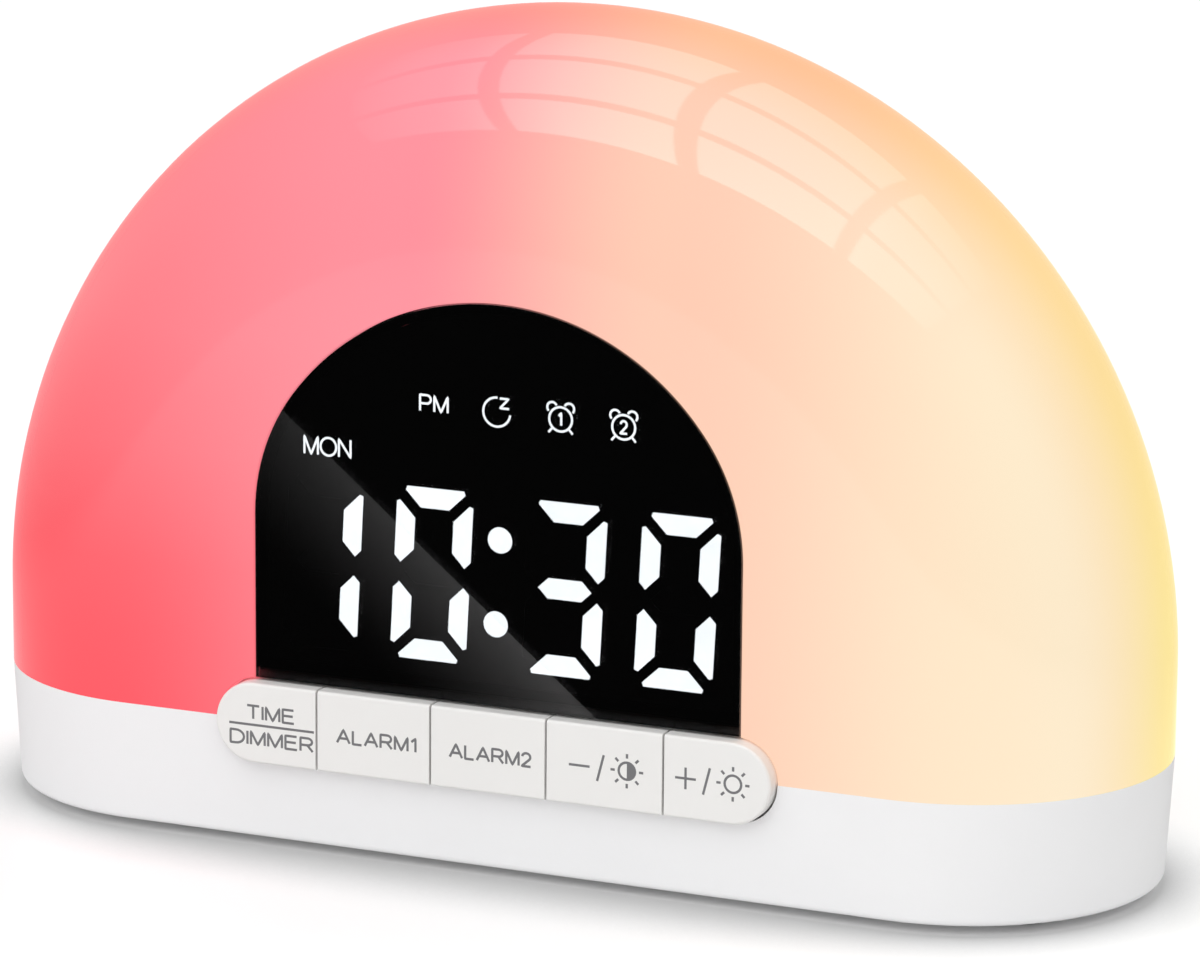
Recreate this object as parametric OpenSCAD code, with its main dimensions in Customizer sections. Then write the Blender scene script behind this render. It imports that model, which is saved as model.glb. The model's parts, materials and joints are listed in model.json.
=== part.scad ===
// Sunrise alarm clock. A frosted half-round lamp dome stands on a white racetrack base. An arched window in
// the dome's front holds the display, and a bar of five keys lies across the joint below it. All sizes are
// in millimetres. X runs to the right, Y to the back and Z up, and the rubber feet rest on Z = 0.

/* [Body] */
// Width across the dome and the base
body_w = 180; // [172:1:196]
// Depth from the flat front to the flat back
body_d = 61; // [60:0.5:68]
// Height of the joint between base and dome above the table
joint_h = 19.5; // [19:0.5:24]
// Height of the dome's upright sides above the joint
dome_side = 12.5; // [8:0.5:18]
// Wall of the dome and of the base
wall = 2.2; // [1.8:0.1:2.5]
// How far the base draws in by its lower edge
base_draft = 1; // [0.2:0.1:1.4]
// Radius of the base's lower outer edge
base_edge = 0.8; // [0.4:0.1:1.2]
// Height of the tongue that centres the dome on the base
tongue_h = 2; // [1:0.5:3]
// Height of the base's edge above the table
foot_h = 1.5; // [1:0.1:2.5]
// Thickness of the deck that closes the base
deck_t = 2; // [1.5:0.1:2.5]
// Depth of the deck's top below the joint
deck_drop = 2; // [1.5:0.1:2.5]
// Thickness of the bottom cover
cover_t = 2; // [1.8:0.1:2.4]

/* [Window] */
// Width of the arched window
window_w = 75.6; // [74:0.2:80]
// Height above the joint at which the arch springs
spring_h = 30.7; // [28:0.1:33]
// Rise of the arch above its springing
arch_rise = 33.9; // [32:0.1:36]
// Radius of the arch's two shoulders
shoulder_r = 30; // [27:0.5:31]
// Thickness of the smoked window
lens_t = 1.5; // [1.2:0.1:1.7]
// Thickness of the printed mask behind the window
mask_t = 0.2; // [0.1:0.05:0.3]
// Depth of the reflector block behind the mask
reflector_t = 7; // [5:0.5:8]
// Wall of the frame that carries the display
frame_wall = 1.5; // [1.2:0.1:1.8]
// Width of the frame's flange behind the dome
frame_flange = 3; // [2:0.5:4]

/* [Display] */
// The four figures that are lit
shown = [1, 0, 3, 0];
// Height of a figure
digit_h = 25.4; // [23:0.2:26]
// Width of a figure
digit_w = 12.05; // [11:0.05:12.4]
// Distance between the two figures of a pair
digit_pitch = 17.2; // [16.4:0.1:17.4]
// Extra distance between the pairs for the colon
colon_room = 3.45; // [3:0.05:4]
// Height of the figures' middle above the joint
digit_rise = 24.2; // [23:0.1:25]
// Breadth of a segment
segment_w = 3.1; // [2.6:0.1:3.3]
// Gap between the mitred ends of two segments
segment_gap = 1.55; // [1.2:0.05:1.8]
// Sideways lean of the figures for each millimetre of height
slant = 0.05; // [0:0.01:0.08]
// Radius of a colon dot
colon_r = 1.95; // [1.5:0.05:2.2]
// Distance of each colon dot from the figures' middle
colon_rise = 6.15; // [5:0.05:7]

/* [Keys] */
// Length of the key bar
key_len = 86.4; // [84:0.2:88]
// Height of the key bar
key_h = 11.9; // [11.4:0.1:12.4]
// Distance between the middle keys
key_pitch = 18; // [17:0.1:18.6]
// How far the keys stand out of the front
key_proud = 2; // [1.6:0.1:2.6]
// Gap between two keys
key_gap = 0.35; // [0.3:0.05:0.5]
// Gap between the keys and the opening round them
key_clear = 0.3; // [0.3:0.05:0.5]
// Travel of a key
key_travel = 0.6; // [0.4:0.05:0.8]
// Rounding of a key's front edge
key_edge = 0.45; // [0.2:0.05:0.8]
// Thickness of a key's face
key_face_t = 1.4; // [1.2:0.1:1.6]
// Wall of a key's skirt
key_wall = 1.1; // [0.9:0.1:1.3]
// Reach of the flange that keeps a key in
key_lip = 1; // [0.7:0.1:1.2]
// Diameter of a key's stem
stem_d = 4; // [3:0.1:4.4]

/* [Inside] */
// Thickness of the circuit boards
board_t = 1.6; // [1:0.1:1.8]
// Thickness of the plate that guides the key stems
guide_t = 1.5; // [1.2:0.1:2]
// Side of a push switch
switch_w = 6.2; // [6:0.1:7]
// Thickness of a push switch's body
switch_t = 3.6; // [3.2:0.1:4]
// Diameter of a switch's plunger
plunger_d = 3.4; // [3:0.1:3.6]
// Outer diameter of the loudspeaker
speaker_d = 30; // [28:0.5:36]
// Diameter of the backup coin cell
cell_d = 20; // [20:0.5:20]
// Thickness of the backup coin cell
cell_t = 3.2; // [2.5:0.1:3.4]
// Diameter of the battery door
door_d = 23.4; // [23:0.1:24]
// Turn of the battery door from locked to free
door_turn = 50; // [45:1:55]
// Diameter of a rubber foot
foot_d = 10; // [8:0.5:11]

/* [Hidden] */
$fn = 64;

// Small distances that several pieces share
joined = 0.5;       // overlap where two forms of one piece melt together
past = 1;           // how far a cut runs past the surface that it opens
clear = 0.3;        // running clearance between pieces
seat_gap = 0.15;    // gap round a piece that is set into a recess
running = 0.08;     // radial clearance of a round shaft in its hole
light_gap = 0.05;   // gap round a light window in its well
tip_room = 1;       // depth that a pilot hole goes on past its screw

// Body
half_d = body_d / 2;
front_y = -half_d;
half_run = body_w / 2 - half_d;
dome_z = joint_h + dome_side;
deck_top = joint_h - deck_drop;
deck_under = deck_top - deck_t;
cover_top = foot_h + cover_t;
draft_slope = base_draft / (joint_h - foot_h);
inner_foot_r = half_d - base_draft - wall;
post_r = 3.3;
post_in = 8.5;
post_y = half_d - post_in;
end_post_out = 22.5;
end_post_x = half_run + end_post_out;
boss_r = 3.2;
boss_h = 7.5;
boss_angle = 35;
boss_reach = half_d - wall - boss_r + clear;
tongue_t = 1.2;

// Screws: self-tapping, with a pan head
screw_d = 2.5;
screw_head_d = 4.8;
screw_head_t = 1.2;
pilot_d = screw_d + 0.1;
screw_hole_d = screw_d + 0.5;
head_recess_d = screw_head_d + 0.8;
head_room = screw_head_d / 2 + 2 * clear;
cross_w = 0.6;
cross_l = 2.6;
cross_t = 0.6;
pilot_depth = 6;
pillar_r = 2.5;
pillar_pilot = 4;
standoff_r = 2.6;

// Window and display stack, measured inwards from the front face
half_window = window_w / 2;
spring_z = joint_h + spring_h;
shoulder_x = half_window - shoulder_r;
shoulder_rise = arch_rise - shoulder_r;
arc_drop = (pow(shoulder_x, 2) - pow(shoulder_rise, 2)) / (2 * shoulder_rise);
key_z = joint_h;
window_foot = key_z + key_h / 2 + key_clear + seat_gap;
mask_start = lens_t + clear;
stack_start = mask_start + mask_t;
display_board_start = stack_start + reflector_t;
frame_depth = display_board_start + board_t + 1;
flange_start = wall + clear;
frame_foot = window_foot + 1.3;
tray_foot = frame_foot + frame_wall;
tray_grow = -seat_gap - frame_wall - seat_gap;
leg_w = 3.5;
leg_out = 3.3;
leg_x = key_len / 2 + leg_out;
leg_foot_t = 2;
leg_foot_w = leg_w + 2 * head_room;
leg_foot_back = flange_start + frame_wall;
post_x = leg_x + leg_w + head_room;
crossbar_h = 3;
light_t = 1;
icon_pitch = 9.7;
icon_first_x = -9.45;
icon_rise = 48.8;
icon_z = joint_h + icon_rise;
day_rise = 41.4;
day_z = joint_h + day_rise;
day_x = -26.1;
icon_box = [5.2, 5.2];
day_box = [8.6, 3.6];
display_screw_x = 14;
high_screw_rise = 55.5;
low_screw_rise = 12.4;
display_screw_spots = [
    [-display_screw_x, joint_h + high_screw_rise], [display_screw_x, joint_h + high_screw_rise],
    [0, joint_h + low_screw_rise]
];
display_screw_reach = 5;
led_w = 1.6;
led_t = 0.8;

// Figures: half sizes, the two mitre lines and the blunted tips of a segment
half_w = digit_w / 2;
half_h = digit_h / 2;
digit_z = joint_h + digit_rise;
slot = segment_gap / sqrt(2);
corner_line = half_h - half_w - 0.4;
middle_line = half_w - 0.75;
tip = 0.6;
bevel = 1;
figures = ["abcdef", "bc", "abdeg", "abcdg", "bcfg", "acdfg", "acdefg", "abc", "abcdefg", "abcdfg"];

// Key stack, measured inwards from the front face
end_key_x = (key_len / 2 + 1.5 * key_pitch) / 2;
key_rib_t = 0.8;
key_flange_t = 0.8;
key_flange_start = wall + draft_slope * (key_h / 2 + key_lip) + clear;
guide_start = key_flange_start + key_flange_t + key_travel + clear;
stem_end = guide_start + guide_t + clear;
switch_start = stem_end + key_travel + clear;
switch_board_start = switch_start + switch_t;
switch_back = switch_board_start + board_t;
plunger_in = 1.3;
plunger_len = key_travel + clear + plunger_in;
guide_half = key_len / 2 + 2;
guide_top = key_z + key_h / 2 + 1;
switch_screw_z = foot_h + 7;
guide_low = switch_screw_z - 3;
switch_screw_xs = [-30, 0, 30];
bay_half = guide_half + 0.8;
bay_back = switch_back + screw_head_t + clear;

// Loudspeaker
speaker_r = speaker_d / 2;
speaker_wall = 1;
speaker_reach = speaker_r + seat_gap + speaker_wall + clear + post_r;
speaker_in = 6;
speaker_x = post_x - max(speaker_in, sqrt(max(0, pow(speaker_reach, 2) - pow(post_y, 2))));
gasket_t = 0.8;
basket_z = cover_top + gasket_t;
basket_rim_t = 1;
basket_h = 5;
magnet_r = speaker_r / 2;
magnet_t = 3.5;
speaker_face_w = 2.5;
speaker_inner_r = speaker_r - speaker_face_w;
speaker_ring_h = 1.6;
basket_wall = 0.8;
tab_t = 0.5;
cone_t = 0.4;
grille_pitch = 3.8;
grille_hole_d = 1.8;
grille_rings = floor((speaker_inner_r - grille_hole_d / 2) / grille_pitch);

// Coin cell and its bayonet door
cell_in = 5;
cell_x = cell_in - post_x;
door_r = door_d / 2;
door_hole_r = door_r + clear;
lug_r = door_hole_r + 1.2;
groove_r = lug_r + clear;
lug_z = foot_h + 1.1;
lug_t = 0.8;
groove_z = lug_z - clear;
groove_t = lug_t + 2 * clear;
lug_count = 3;
lug_angle = 24;
notch_angle = lug_angle + 6;
door_t = 2.1;
door_rib_r = 7;
door_rib_t = 1;
cup_r = cell_d / 2 + 0.4;
ring_r = groove_r + 2;
ring_top = groove_z + groove_t + 1.2;
cell_z = ring_top - 0.3;
contact_t = 0.3;
contact_h = 1.1;
cup_top = cell_z + cell_t + contact_h;
cup_wall = 1.4;

// Boards inside the base and the dome
board_rise = 3;
board_room = 1.9;
main_z = cover_top + board_rise;
main_top = main_z + board_t;
cell_room = 3.5;
main_half = min(speaker_x - speaker_r, -cell_x - ring_r - cell_room);
main_front_y = front_y + bay_back + board_room;
main_back_y = inner_foot_r - 0.5;
main_screw_in = 3;
main_screw_x = main_half - main_screw_in;
main_screw_ys = [main_front_y + 4, main_back_y - 5];
chip_x = 4;
chip_in = 17;
cap_xs = [-8, -16];
cap_in = 30;
crystal_x = 14;
crystal_in = 28;
speaker_socket_in = 5;
usb_w = 8.94;
usb_h = 3.26;
usb_len = 7.35;
usb_wall = 0.3;
usb_z = main_top + usb_h / 2;
usb_back_y = main_back_y + 0.8;
ribbon_w = 12;
ribbon_x = -11;
ribbon_t = 0.3;
ribbon_y = front_y + bay_back + 0.6;
ribbon_room = 1;
ribbon_fold = 8;
socket_h = 4;
ribbon_socket_t = 2;
lamp_z = deck_top + 1.5;
lamp_half = half_run + 2;
lamp_in = 17.5;
lamp_front_y = front_y + lamp_in;
lamp_back_y = half_d - wall - 3.5;
lamp_row_in = 11;
lamp_row_pitch = 14;
lamp_rows = [lamp_front_y + lamp_row_in, lamp_front_y + lamp_row_in + lamp_row_pitch];
lamp_led = 5;
lamp_led_t = 1.5;
lamp_led_r = 1.8;
lamp_pitch = 12;
lamp_count = 10;
lamp_screw_x = lamp_half - 4;
lamp_screw_ys = [lamp_front_y + 4, lamp_back_y - 4];
lead_r = 0.6;
lamp_lead_in = [7, 21];
lamp_lead_x = lamp_lead_in.x - main_half;
lamp_lead_y = main_front_y + lamp_lead_in.y;
lamp_lead_slot = [8, 3];
lead_pitch = 1.6;

// Rubber feet
foot_in = 0.5;
foot_from_end = 16;
feet_x = body_w / 2 - foot_from_end;
foot_from_side = 16.5;
feet_y = half_d - foot_from_side;

// Moves a piece from the middle of the body to where the whole clock with its keys is centred on Y = 0
module placed() {
    translate([0, key_proud / 2, 0]) children();
}

// Extrudes a front view (x across, y up) towards the back, from y0 over len
module along_y(y0, len) {
    translate([0, y0 + len, 0]) rotate([90, 0, 0]) linear_extrude(len) children();
}

// The same, with the start counted inwards from the front face
module from_front(start, len) {
    along_y(front_y + start, len) children();
}

// Racetrack outline with end radius r
module racetrack_2d(r) {
    square([2 * half_run, 2 * r], center = true);
    for (side = [-1, 1]) translate([side * half_run, 0]) circle(r);
}

// Sweeps a half section (x outwards from the centre line, y up) round the racetrack
module racetrack() {
    for (side = [-1, 1]) {
        translate([side * half_run, 0, 0]) rotate(-90 * side) rotate_extrude(angle = 180) children();
        mirror([0, side > 0 ? 0 : 1, 0]) rotate([90, 0, 90]) {
            linear_extrude(2 * half_run, center = true) children();
        }
    }
}

// Dome without its hollow, drawn in by inset: a disc with a full-round rim on an upright racetrack
module dome_solid(inset, low) {
    r = half_d - inset;
    translate([0, 0, dome_z]) rotate([90, 0, 0]) rotate_extrude(angle = 180) {
        translate([0, -r]) square([half_run, 2 * r]);
        translate([half_run, 0]) circle(r);
    }
    translate([0, 0, low]) linear_extrude(dome_z - low) racetrack_2d(r);
}

// Three-centred arch of the window in front view, grown by grow, with its foot at low
module arch_2d(grow, low) {
    far = 10;
    intersection() {
        union() {
            translate([-half_window - grow, low]) square([window_w + 2 * grow, spring_z - low]);
            for (side = [-1, 1]) translate([side * shoulder_x, spring_z]) circle(shoulder_r + grow);
            translate([0, spring_z - arc_drop]) intersection() {
                circle(arch_rise + arc_drop + grow);
                polygon([[0, 0], far * [-shoulder_x, arc_drop], far * [shoulder_x, arc_drop]]);
            }
        }
        translate([-body_w / 2, low]) square([body_w, body_w]);
    }
}

// Round-ended outline of the key bar, grown by grow
module pill_2d(grow) {
    r = key_h / 2;
    translate([0, key_z]) {
        square([key_len - 2 * r, key_h + 2 * grow], center = true);
        for (side = [-1, 1]) translate([side * (key_len / 2 - r), 0]) circle(r + grow);
    }
}

// Half section of the key bar's front, outwards and inwards from its face, with a rounded front edge
module key_section(len) {
    r = key_h / 2;
    translate([0, key_edge]) square([r, len - key_edge]);
    square([r - key_edge, len]);
    translate([r - key_edge, key_edge]) circle(key_edge);
}

// Front of the whole key bar as one solid, len deep from the keys' faces
module key_bar(len) translate([0, front_y - key_proud, key_z]) {
    run = key_len - key_h;
    for (side = [-1, 1]) translate([side * run / 2, 0, 0]) {
        rotate([-90, 0, 0]) rotate_extrude() key_section(len);
    }
    for (up = [0, 1]) mirror([0, 0, up]) {
        rotate([0, -90, 0]) linear_extrude(run, center = true) key_section(len);
    }
}

// Pan-head screw with its seat on Z = 0 and its thread upwards
module screw(len) {
    cylinder(h = len, d = screw_d);
    difference() {
        translate([0, 0, -screw_head_t]) cylinder(h = screw_head_t, d = screw_head_d);
        for (turn = [0, 90]) rotate(turn) translate([0, 0, -screw_head_t - past]) {
            linear_extrude(cross_t + past) square([cross_l, cross_w], center = true);
        }
    }
}

// Places of what repeats
module at_posts() {
    for (side = [-1, 1]) {
        for (back = [-1, 1]) translate([side * post_x, back * post_y, 0]) children();
        translate([side * end_post_x, 0, 0]) children();
    }
}
module at_tower_screws() {
    for (side = [-1, 1]) translate([side * post_x, -post_y, 0]) children();
}
module at_dome_screws() {
    for (side = [-1, 1]) for (turn = [-1, 1]) translate([side * half_run, 0, 0]) {
        rotate(turn * boss_angle) translate([side * boss_reach, 0, 0]) children();
    }
}
module at_feet() {
    for (side = [-1, 1]) for (back = [-1, 1]) translate([side * feet_x, back * feet_y, 0]) children();
}
module at_main_screws() {
    for (side = [-1, 1]) for (y = main_screw_ys) translate([side * main_screw_x, y, 0]) children();
}
module at_lamp_screws() {
    for (side = [-1, 1]) for (y = lamp_screw_ys) translate([side * lamp_screw_x, y, 0]) children();
}
module at_switch_screws() {
    for (x = switch_screw_xs) translate([x, switch_screw_z]) children();
}

// --- Casings ---------------------------------------------------------------------------------------------

// Frosted light shell: window, upper half of the key opening, and four screw bosses inside its ends
module dome_diffuser() placed() color("lightpink") difference() {
    union() {
        difference() {
            dome_solid(0, joint_h);
            dome_solid(wall, joint_h - past);
        }
        translate([0, 0, joint_h]) at_dome_screws() cylinder(h = boss_h, r = boss_r);
    }
    translate([0, 0, joint_h - past]) at_dome_screws() cylinder(h = past + pilot_depth, d = pilot_d);
    from_front(-past, wall + 2 * past) arch_2d(0, joint_h - past);
    from_front(-past, wall + 2 * past) pill_2d(key_clear);
}

// Section of the base's wall, with draft and a rounded lower edge
module base_section() {
    low_r = half_d - base_draft;
    edge_x = low_r - base_edge;
    polygon([
        [low_r - wall, foot_h],
        [edge_x, foot_h],
        [low_r + draft_slope * base_edge, foot_h + base_edge],
        [half_d, joint_h],
        [half_d - wall, joint_h]
    ]);
    translate([edge_x, foot_h + base_edge]) circle(base_edge);
}

// Tongue inside the joint, left out across the front where the key and display parts stand
module tongue() {
    tongue_low = deck_top - joined;
    difference() {
        racetrack() translate([half_d - wall - seat_gap - tongue_t, tongue_low]) {
            square([tongue_t, joint_h + tongue_h - tongue_low]);
        }
        translate([-half_run, front_y, deck_top - past]) cube([2 * half_run, half_d, joint_h]);
        at_dome_screws() translate([0, 0, joint_h]) cylinder(h = tongue_h + past, r = boss_r + clear);
    }
}

// White base: drafted wall, deck with posts, and the lower half of the key opening
module base_housing() placed() color("whitesmoke") difference() {
    union() {
        racetrack() base_section();
        tongue();
        translate([0, 0, deck_under]) linear_extrude(deck_t) racetrack_2d(half_d - wall);
        at_posts() translate([0, 0, cover_top]) cylinder(h = deck_top - cover_top, r = post_r);
        at_dome_screws() translate([0, 0, deck_top - joined]) cylinder(h = deck_drop + joined, r = boss_r);
        at_lamp_screws() translate([0, 0, deck_under]) cylinder(h = lamp_z - deck_under, r = boss_r);
        from_front(wall, guide_start - wall) at_switch_screws() circle(boss_r);
    }
    from_front(-past, wall + 2 * past) pill_2d(key_clear);
    // Bay for the keys, with a slot behind it for the ribbon, and a slot for the lamp leads
    translate([0, 0, deck_under - past]) linear_extrude(deck_t + 2 * past) {
        translate([-bay_half, front_y + wall + seat_gap]) square([2 * bay_half, bay_back - wall]);
        translate([ribbon_x, ribbon_y]) square([ribbon_w, ribbon_t] + ribbon_room * [2, 2], center = true);
        translate([lamp_lead_x, lamp_lead_y]) square(lamp_lead_slot, center = true);
    }
    // Screw holes
    at_posts() translate([0, 0, cover_top - past]) cylinder(h = pilot_depth + past, d = pilot_d);
    at_tower_screws() translate([0, 0, deck_top - pilot_depth]) cylinder(h = body_d, d = pilot_d);
    at_dome_screws() translate([0, 0, deck_under - past]) cylinder(h = body_d, d = screw_hole_d);
    at_lamp_screws() translate([0, 0, deck_under - past]) cylinder(h = body_d, d = pilot_d);
    from_front(wall, guide_start) at_switch_screws() circle(d = pilot_d);
    // Mouth of the power inlet
    along_y(main_back_y, body_d) usb_outline(clear);
}

// Bottom cover: battery cup and bayonet ring, speaker ring, grille, board pillars and foot recesses
module bottom_cover() placed() color("gainsboro") difference() {
    union() {
        translate([0, 0, foot_h]) linear_extrude(cover_t) racetrack_2d(inner_foot_r - seat_gap);
        translate([speaker_x, 0, foot_h]) {
            cylinder(h = cover_t + speaker_ring_h, r = speaker_r + seat_gap + speaker_wall);
        }
        translate([cell_x, 0, foot_h]) {
            cylinder(h = ring_top - foot_h, r = ring_r);
            cylinder(h = cup_top + cup_wall - foot_h, r = cup_r + cup_wall);
        }
        at_main_screws() translate([0, 0, foot_h]) cylinder(h = main_z - foot_h, r = pillar_r);
    }
    at_main_screws() translate([0, 0, main_z - pillar_pilot]) cylinder(h = body_d, d = pilot_d);
    at_posts() translate([0, 0, foot_h - past]) cylinder(h = cover_t + 2 * past, d = screw_hole_d);
    at_posts() translate([0, 0, foot_h - past]) cylinder(h = past + screw_head_t, d = head_recess_d);
    at_feet() cylinder(h = foot_h + foot_in, r = foot_d / 2 + seat_gap);
    translate([speaker_x, 0, cover_top]) cylinder(h = joint_h, r = speaker_r + seat_gap);
    translate([speaker_x, 0, 0]) grille_holes();
    translate([cell_x, 0, 0]) battery_room();
}

// Holes of the speaker grille: one in the middle and rings round it
module grille_holes() {
    for (ring = [0:grille_rings]) {
        count = max(1, 6 * ring);
        for (i = [0:count - 1]) rotate(i * 360 / count) translate([ring * grille_pitch, 0, 0]) {
            cylinder(h = cover_top + past, d = grille_hole_d, $fn = 32);
        }
    }
}

// Room for the coin cell, its door and the door's lugs
module battery_room() {
    translate([0, 0, foot_h - past]) cylinder(h = door_t + clear + past, r = door_hole_r);
    translate([0, 0, groove_z]) cylinder(h = groove_t, r = groove_r);
    translate([0, 0, foot_h]) cylinder(h = cup_top - foot_h, r = cup_r);
    at_lugs(-door_turn) rotate(-notch_angle / 2) rotate_extrude(angle = notch_angle) {
        translate([cup_r, foot_h - past]) square([groove_r - cup_r, past + groove_z - foot_h + seat_gap]);
    }
}

// Places of the door's lugs, turned by turn
module at_lugs(turn) {
    for (i = [0:lug_count - 1]) rotate(turn + i * 360 / lug_count) children();
}

// Round battery door with bayonet lugs, a coin slot and a rib under the cell
module battery_door() placed() translate([cell_x, 0, 0]) color("gainsboro") {
    slot_l = 13;
    slot_w = 1.8;
    slot_t = 0.9;
    difference() {
        union() {
            translate([0, 0, foot_h]) cylinder(h = door_t, r = door_r);
            translate([0, 0, foot_h]) cylinder(h = cell_z - clear - foot_h, r = door_rib_r + door_rib_t);
            at_lugs(0) rotate(-lug_angle / 2) rotate_extrude(angle = lug_angle) {
                translate([door_r - joined, lug_z]) square([lug_r - door_r + joined, lug_t]);
            }
        }
        translate([-slot_l / 2, -slot_w / 2, foot_h - past]) cube([slot_l, slot_w, slot_t + past]);
        translate([0, 0, foot_h + door_t - joined]) cylinder(h = joint_h, r = door_rib_r);
    }
}

// Four rubber feet, chamfered and set into the cover
module rubber_feet() placed() color("dimgray") at_feet() {
    r = foot_d / 2;
    top = foot_h + foot_in;
    ease = 0.4;
    rotate_extrude() polygon([[0, 0], [r - ease, 0], [r, ease], [r, top], [0, top]]);
}

module cover_screws() placed() color("silver") at_posts() {
    translate([0, 0, foot_h + screw_head_t]) screw(cover_t - screw_head_t + pilot_depth - tip_room);
}
module dome_screws() placed() color("silver") at_dome_screws() {
    translate([0, 0, deck_under]) screw(joint_h - deck_under + pilot_depth - tip_room);
}

// --- Display ---------------------------------------------------------------------------------------------

module display_lens() placed() color("black") from_front(0, lens_t) arch_2d(-seat_gap, window_foot);

// Printed film with a clear window for each segment and dot
module display_mask() placed() color("black") from_front(mask_start, mask_t) difference() {
    arch_2d(tray_grow, tray_foot + seat_gap);
    all_segments_2d(0);
    at_colon() circle(colon_r);
}

// Black frame: an arched tube with a flange behind the dome, on two legs that screw down to the deck
module display_frame() placed() color("dimgray") {
    difference() {
        union() {
            from_front(lens_t, frame_depth - lens_t) arch_2d(-seat_gap, frame_foot);
            from_front(flange_start, frame_wall) arch_2d(frame_flange, frame_foot);
            from_front(flange_start, frame_depth - flange_start) translate([-leg_x - leg_w, frame_foot]) {
                square([2 * (leg_x + leg_w), crossbar_h]);
            }
            for (side = [0, 1]) mirror([side, 0, 0]) display_leg();
        }
        from_front(lens_t - past, frame_depth + past) arch_2d(-seat_gap - frame_wall, tray_foot);
        at_tower_screws() translate([0, 0, deck_top - past]) {
            cylinder(h = leg_foot_t + 2 * past, d = screw_hole_d);
        }
    }
}
module display_leg() {
    from_front(flange_start, frame_depth - flange_start) translate([leg_x, deck_top]) {
        square([leg_w, frame_foot - deck_top + joined]);
    }
    from_front(leg_foot_back, frame_depth - leg_foot_back) translate([leg_x, deck_top]) {
        square([leg_foot_w, leg_foot_t]);
    }
}

// White block with a light well behind each segment, dot and pictogram
module display_reflector() placed() color("white") difference() {
    from_front(stack_start, reflector_t) arch_2d(tray_grow, tray_foot + seat_gap);
    from_front(stack_start - past, reflector_t + 2 * past) {
        all_segments_2d(0);
        at_colon() circle(colon_r);
        icons_2d(0);
    }
    from_front(display_board_start - display_screw_reach, display_screw_reach + past) {
        display_screw_dots(pilot_d);
    }
}
module display_screw_dots(d) {
    for (spot = display_screw_spots) translate(spot) circle(d = d);
}

// Points of a segment about its figure's middle. Top, upper right and middle are drawn, the rest mirrored
function top_points() = let (outer = half_h - corner_line - slot, inner = outer - segment_w) [
    [-outer + 1.4 * tip, half_h], [outer - 1.4 * tip, half_h], [outer - tip, half_h - tip],
    [inner, half_h - segment_w], [-inner, half_h - segment_w], [-outer + tip, half_h - tip]
];
function side_points() = let (inner = half_w - segment_w, top = half_w + corner_line - slot) [
    [half_w, top - 1.4 * tip], [half_w - tip, top - tip], [inner, top - segment_w],
    [inner, middle_line + slot - inner], [half_w - bevel, middle_line + slot - half_w + bevel],
    [half_w, middle_line + slot - half_w + 2 * bevel]
];
function middle_points() = let (end = middle_line - slot, half = segment_w / 2) [
    [end, 0], [end - half, half], [-end + half, half], [-end, 0], [-end + half, -half], [end - half, -half]
];
function flipped(points, across, up) = [for (p = points) [across * p.x, up * p.y]];
function segment_points(name) =
    name == "a" ? top_points() :
    name == "b" ? side_points() :
    name == "c" ? flipped(side_points(), 1, -1) :
    name == "d" ? flipped(top_points(), 1, -1) :
    name == "e" ? flipped(side_points(), -1, -1) :
    name == "f" ? flipped(side_points(), -1, 1) :
    middle_points();
function figure_x(i) = (i - 1.5) * digit_pitch + sign(i - 1.5) * colon_room / 2;
function is_lit(i, name) = len(search(name, figures[shown[i]])) > 0;

// One segment of figure i, grown by grow. Its outline is moved out by scaling it about its own middle
module segment_2d(i, name, grow) {
    points = segment_points(name);
    low = [min([for (p = points) p.x]), min([for (p = points) p.y])];
    high = [max([for (p = points) p.x]), max([for (p = points) p.y])];
    middle = (low + high) / 2;
    factor = [for (k = [0, 1]) 1 + 2 * grow / (high[k] - low[k])];
    moved = [for (p = points) [for (k = [0, 1]) middle[k] + (p[k] - middle[k]) * factor[k]]];
    translate([figure_x(i), digit_z]) polygon([for (p = moved) [p.x + slant * p.y, p.y]]);
}
module all_segments_2d(grow) {
    for (i = [0:3]) for (name = "abcdefg") segment_2d(i, name, grow);
}
module lit_or_dark_2d(lit, grow) {
    for (i = [0:3]) for (name = "abcdefg") if (is_lit(i, name) == lit) segment_2d(i, name, grow);
}
module at_colon() {
    for (up = [-1, 1]) translate([up * colon_rise * slant, digit_z + up * colon_rise]) children();
}
module at_icons() {
    for (i = [0:3]) translate([icon_first_x + i * icon_pitch, icon_z]) children();
}
module icons_2d(grow) {
    at_icons() square(icon_box + 2 * [grow, grow], center = true);
    translate([day_x, day_z]) square(day_box + 2 * [grow, grow], center = true);
}

// Frosted light windows at the front of the wells
module light_windows() placed() from_front(stack_start, light_t) children();
module lit_segments() color("white") light_windows() lit_or_dark_2d(true, -light_gap);
module dark_segments() color("gray") light_windows() lit_or_dark_2d(false, -light_gap);
module colon_dots() color("white") light_windows() at_colon() circle(colon_r - light_gap);
module icon_guides() color("white") light_windows() icons_2d(-light_gap);

module display_board() placed() color("darkgreen") from_front(display_board_start, board_t) difference() {
    arch_2d(tray_grow, tray_foot + seat_gap);
    display_screw_dots(screw_hole_d);
}

// One small lamp behind each segment, dot and pictogram
module display_leds() placed() color("khaki") from_front(display_board_start - led_t, led_t) {
    side_x = half_w - segment_w / 2;
    top_z = half_h - segment_w / 2;
    spots = [[0, top_z], [side_x, half_h / 2], [side_x, -half_h / 2], [0, -top_z],
        [-side_x, -half_h / 2], [-side_x, half_h / 2], [0, 0]];
    for (i = [0:3]) for (p = spots) translate([figure_x(i) + p.x + slant * p.y, digit_z + p.y]) {
        square(led_w, center = true);
    }
    at_colon() square(led_w, center = true);
    at_icons() square(led_w, center = true);
    translate([day_x, day_z]) square(led_w, center = true);
}

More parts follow.
